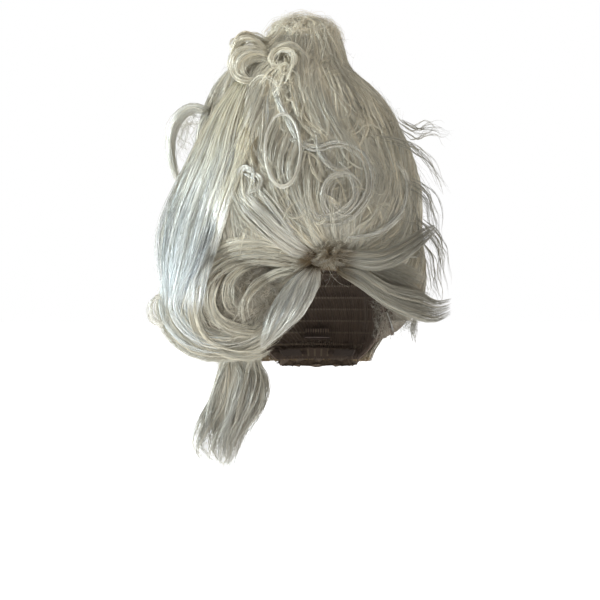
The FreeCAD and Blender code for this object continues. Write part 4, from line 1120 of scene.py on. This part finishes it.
def make_crown_curls():
    """Ring curls below the knot, each a few loops of its own whose ends run back into the updo."""
    crown = Hair("crown_curls_strands", replaces="crown_curls", slot="hair_pale")
    inward = np.array([AXIS[0], AXIS[1], 0.0])
    t = SHARE[:, None]
    leave = np.clip(3 * t - 2, 0, 1) ** 1.5 + np.clip(1 - 5 * t, 0, 1) ** 1.5
    for middle, normal, first, second, cord in rings("crown_curls"):
        for _ in range(6):
            tilt = rng.normal(0, 0.35, 2)
            one = first + normal * tilt[0] * np.linalg.norm(first)
            two = second + normal * tilt[1] * np.linalg.norm(second)
            grown = rng.uniform(0.7, 1.25)
            place = middle + rng.normal(0, 3.5, 3)
            sweep, start = rng.uniform(290, 420), rng.uniform(0, 360)
            guides = ring_guides(place, one * grown, two * grown, 6, cord * 0.6, sweep, start, 0.25)
            home = unit(inward - place * np.array([1, 1, 0])) * 26 + np.array([0, 0, -14.0])
            crown.grow(guides + leave * home, 9, cord * 0.3, cord * 0.3, steps=22, profile=(0.5, 1, 1, 0.5),
                       radius=0.24, loose=0.9, frizz=0.15, out=normal, tone=1.15, stray=0.15,
                       shortest=0.6, latest=0.2)
    crown.build()


def make_swirl_curls():
    """Open curls that lie on the front."""
    small = Hair("swirl_curls_strands", "root", hair_pale, "swirl_curls", "hair_pale")
    for middle, normal, first, second, cord in rings("swirl_curls"):
        inner = 1 - cord / np.linalg.norm(first)
        begin = rng.uniform(0, 360)
        for _ in range(4):
            sweep, start = rng.uniform(110, 240), begin + rng.normal(0, 50)
            size = inner * rng.uniform(0.7, 1.2)
            guides = ring_guides(middle, first * size, second * size, 3, cord * 0.9, sweep, start, 0.3)
            small.grow(guides, 8, cord * 0.4, cord * 0.3, steps=22, profile=(0.3, 1, 0.8, 0.2), radius=0.24,
                       loose=0.8, frizz=0.08, out=normal, tone=0.85, shortest=0.6)
    small.build()


def make_loops():
    """The thin loop that stands on the front, and the broad one on the edge with a haze in it."""
    middle, normal, first, second, cord = rings("front_loop")[0]
    inner = 1 - cord / np.linalg.norm(first)
    guides = ring_guides(middle + np.array([0, -7.0, 0]), first * inner, second * inner, 4, 0.5)
    thin = Hair("front_loop_strands", "front_loop", hair_pale, "front_loop", "hair_pale")
    thin.grow(guides, 15, 1.1, 0.9, steps=40, profile=(0.8, 1, 1, 0.8), radius=0.22, loose=0.4, frizz=0.05,
              out=normal, tone=1.05, stray=0.0).build()

    side = Hair("side_loop_strands", "side_loop", hair_pale, "side_loop", "hair_pale")
    outer = [(1.0, 0.92), (0.62, 0.97), (0.3, 0.86), (0.1, 0.64), (0.07, 0.42), (0.14, 0.2), (0.3, 0.0)]
    inner = [(1.0, 0.9), (0.86, 0.78), (0.78, 0.58), (0.74, 0.38), (0.6, 0.18), (0.34, -0.04)]
    across = [(0.9, 0.8), (0.5, 0.8), (0.35, 0.5), (0.6, 0.2)]
    outer, inner, across = (
        spline([at("side_loop", x, 0.5, z) for x, z in bend])[None] for bend in (outer, inner, across)
    )
    for bend, count, broad in ((outer, 18, 3.6), (inner, 10, 2.6)):
        guides = bend + rng.normal(0, 1.3, (count, 1, 3)) * np.array([1, 2.2, 1])
        side.grow(guides, 26, broad, 1.6, profile=(1, 1.3, 0.8, 0.5), loose=1.5, frizz=0.2, out=AHEAD,
                  shortest=0.7)
    haze = across + waves((26,), DENSE, 0.8) * 7 + rng.normal(0, 3, (26, 1, 3))
    side.grow(haze, 3, 1.5, steps=20, radius=0.14, loose=1.5, frizz=0.3, out=AHEAD, shortest=0.5, latest=0.4)
    side.build()


# ---- knot and tail


def make_knot():
    """The knot at the top: arcs wound over a flattened ball, teased into a haze."""
    middle = (KNOT_LOW + KNOT_HIGH) / 2 + np.array([0, 0, 2.0])
    half = (KNOT_HIGH - KNOT_LOW) / 2
    make_mass("top_knot_mass", ["top_knot"], "knot", 3.0, 3.0)

    def wrapped(count, shell):
        """Arcs round the knot, shell outside it."""
        axis = unit(rng.normal(size=(count, 3)))
        first = unit(np.cross(axis, unit(rng.normal(size=(count, 3)))))
        second = np.cross(axis, first)
        angle = SHARE[None] * column(1.4, 3.4, count)
        shift = rng.uniform(-0.6, 0.6, (count, 1, 1))
        circle = np.cos(angle)[..., None] * first[:, None] + np.sin(angle)[..., None] * second[:, None]
        ball = circle * np.sqrt(1 - shift**2) + shift * axis[:, None]
        return middle + ball * (half + shell)

    knot = Hair("top_knot_strands", "knot", hair_ivory, "top_knot")
    knot.grow(wrapped(110, -2.0), 12, 5.0, 2.4, steps=15, loose=2.0, frizz=0.4, curl=3.0, tone=1.28)
    # strands that spill over its edge on to the updo
    count = 110
    turn = rng.uniform(0, 360, count)
    angle = np.radians(turn)
    plan = np.stack([np.sin(angle), -np.cos(angle), np.zeros(count)], -1)
    up = np.array([0, 0, 1.0]) * half
    edge = [middle + plan * half * k + up * h for k, h in ((0.5, 0.85), (0.85, 0.5), (1.0, 0.05))]
    spill = [updo(turn + rng.normal(0, 7, count), z, 5.0) for z in (KNOT_LOW[2] - 2, 280.0, 262.0)]
    knot.grow(spline(np.stack(edge + spill, 1)), 11, 5.0, 2.0, steps=16, loose=1.8, frizz=0.3, curl=4.0,
              tone=1.18, shortest=0.45)
    knot.build()
    haze = Hair("top_knot_haze", "knot", hair_fuzz)
    haze.grow(wrapped(48, 2.0), 14, 9.0, 3.5, steps=15, radius=0.15, loose=4.5, frizz=1.0, curl=4.0,
              tone=1.2, shortest=0.3, stray=0.0).build()


def make_tail():
    """The hanging tail: its neck, which comes from the updo, and its length below the tie."""
    spine = sections("tail_hair", 2, 9)[::-1]
    pivot = {j["name"]: np.array(j["pos_m"]) / MM for j in frame["joints"]}
    sway, swing = pivot["tail_sway"], pivot["tail_swing"]
    make_mass("tail_mass", ["tail_hair"], "tail", 3.5, 4.0, length=0.72)

    def lie(count, rows):
        """Guides through level ovals (height, middle x, middle y, half width, half depth) at the sway."""
        angle = rng.uniform(0, FULL_TURN, count)
        reach = np.sqrt(rng.uniform(0.2, 1, count))
        aside = np.stack([reach * np.cos(angle), reach * np.sin(angle), np.zeros(count)], -1)
        ovals = [sway + np.array([x, y, z]) + aside * np.array([w, d, 0]) for z, x, y, w, d in rows]
        return spline(np.stack(ovals, 1))

    def bend(piece, first, second, pivot, above, below):
        """Bakes a piece's transform into its mesh. It does not bend the piece: first, second, pivot, above
        and below are not used.
        """
        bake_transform(piece)

    rows = [(16, 4, -4, 34, 26), (0, 2, 0, 29, 20), (-16, 1, 2, 26, 16), (-34, 1, 3, 26, 15),
            (-52, 0, 4, 25, 15)]
    neck = Hair("tail_neck_strands", None, hair_ivory, "tail_neck")
    neck.grow(lie(90, rows), 13, 4.0, 3.5, steps=14, profile=(1, 1, 1, 0.8), loose=1.2, frizz=0.2, curl=2.0,
              out=AHEAD, tone=0.78, shortest=0.75)
    for piece in neck.build():
        bend(piece, "root", "tail_root", sway, 8, 8)

    guides = inside(spine, 110, 0.98)
    top = lie(110, [(-6, 0, 0, 20, 14), (-16, 0, 0, 21, 14)])[:, -1:]
    share = np.clip(np.linspace(1, -4, DENSE), 0, 1)[None, :, None] ** 0.8
    guides = guides * (1 - share) + (top + (guides - guides[:, :1])) * share
    phase = guides[:, :1, 0] / 16 + rng.normal(0, 0.4, (len(guides), 1))
    aside = 9 * SHARE * np.sin(7 * SHARE + phase) - 15 * SHARE**2
    ahead = -7 * SHARE * rng.uniform(-1, 1, (len(guides), 1))
    guides = guides + np.stack([aside, 0.6 * aside, ahead], -1)
    tail = Hair("tail_strands", None, hair_ivory, "tail_hair")
    tail.grow(guides, 16, 4.0, 3.0, steps=19, profile=(0.9, 1, 0.9, 0.4), loose=1.4, frizz=0.15, curl=2.5,
              out=AHEAD, tone=0.77, shortest=0.55, tip=(0.98, 1.0, 1.06))
    for piece in tail.build():
        bend(piece, "tail_root", "tail", swing, 10, 12)


# ---- stage

FLOOR_REACH, FLOOR_GAP = 12.0, 0.004
CAMERA_DISTANCE, FRAME_WIDTH = 1.8, 0.69
CAMERA_X, CAMERA_Z = -0.0207, 0.0184
WHITE = (1, 1, 1, 1)
LAMPS = [  # name, place from the object's middle, size, power, colour
    ("key", (-2.0, -0.7, 0.5), 1.0, 46, (0.80, 0.91, 1.0)),
    ("fill", (1.6, -1.5, 0.4), 1.8, 4, (1.0, 0.93, 0.82)),
    ("top", (-0.4, -0.5, 1.8), 1.2, 9, (1.0, 0.95, 0.86)),
]


def make_floor():
    """A pale floor."""
    z = CAD_BOX[0][2] - FLOOR_GAP
    mesh = bpy.data.meshes.new("floor")
    verts = [(x * FLOOR_REACH, y * FLOOR_REACH, z) for x, y in ((-1, -1), (1, -1), (1, 1), (-1, 1))]
    mesh.from_pydata(verts, [], [(0, 1, 2, 3)])
    floor = bpy.data.objects.new("floor", mesh)
    bpy.context.scene.collection.objects.link(floor)
    material, _, shade = new_material("floor_paper")
    shade({"Base Color": (0.9, 0.9, 0.9, 1), "Roughness": 0.9, "Emission Color": WHITE,
           "Emission Strength": 1.0})
    mesh.materials.append(material)


def make_stage():
    """Soft light, cooler from the viewer's left, a white surround and a camera straight ahead."""
    make_floor()
    scene = bpy.context.scene
    scene.world = bpy.data.worlds.new("studio")
    scene.world.use_nodes = True
    graph = scene.world.node_tree
    lit = graph.nodes["Background"]
    feed(graph.links, lit, {"Color": (0.98, 0.98, 1, 1), "Strength": 0.34})
    seen = add(graph, "Background", {"Color": WHITE})
    direct = add(graph, "LightPath", out="Is Camera Ray")
    mixed = add(graph, "MixShader", {0: direct, 1: lit.outputs[0], 2: seen})
    feed(graph.links, graph.nodes["World Output"], {"Surface": mixed})
    centre = (Vector(CAD_BOX[0]) + Vector(CAD_BOX[1])) / 2
    for name, place, size, power, colour in LAMPS:
        light = bpy.data.lights.new(name, "AREA")
        light.size, light.energy, light.color = size, power, colour
        lamp = bpy.data.objects.new(name, light)
        lamp.location = centre + Vector(place)
        lamp.rotation_euler = (centre - lamp.location).to_track_quat("-Z", "Y").to_euler()
        scene.collection.objects.link(lamp)
    scene.view_settings.view_transform = "Standard"

    camera = bpy.data.objects.new("camera", bpy.data.cameras.new("camera"))
    camera.location = (CAMERA_X, -CAMERA_DISTANCE, CAMERA_Z)
    camera.rotation_euler = (math.pi / 2, 0, 0)
    camera.data.lens = camera.data.sensor_width * CAMERA_DISTANCE / FRAME_WIDTH
    scene.collection.objects.link(camera)
    scene.camera = camera


for make in (dress_cad, make_net, make_updo, make_locks_on_face, make_fuzz, make_roll, make_forelock,
             make_wings, make_parting, make_wing_sheet, make_sweeps, make_wisps, make_crown_curls,
             make_swirl_curls, make_loops, make_knot, make_tail, make_stage):
    make()
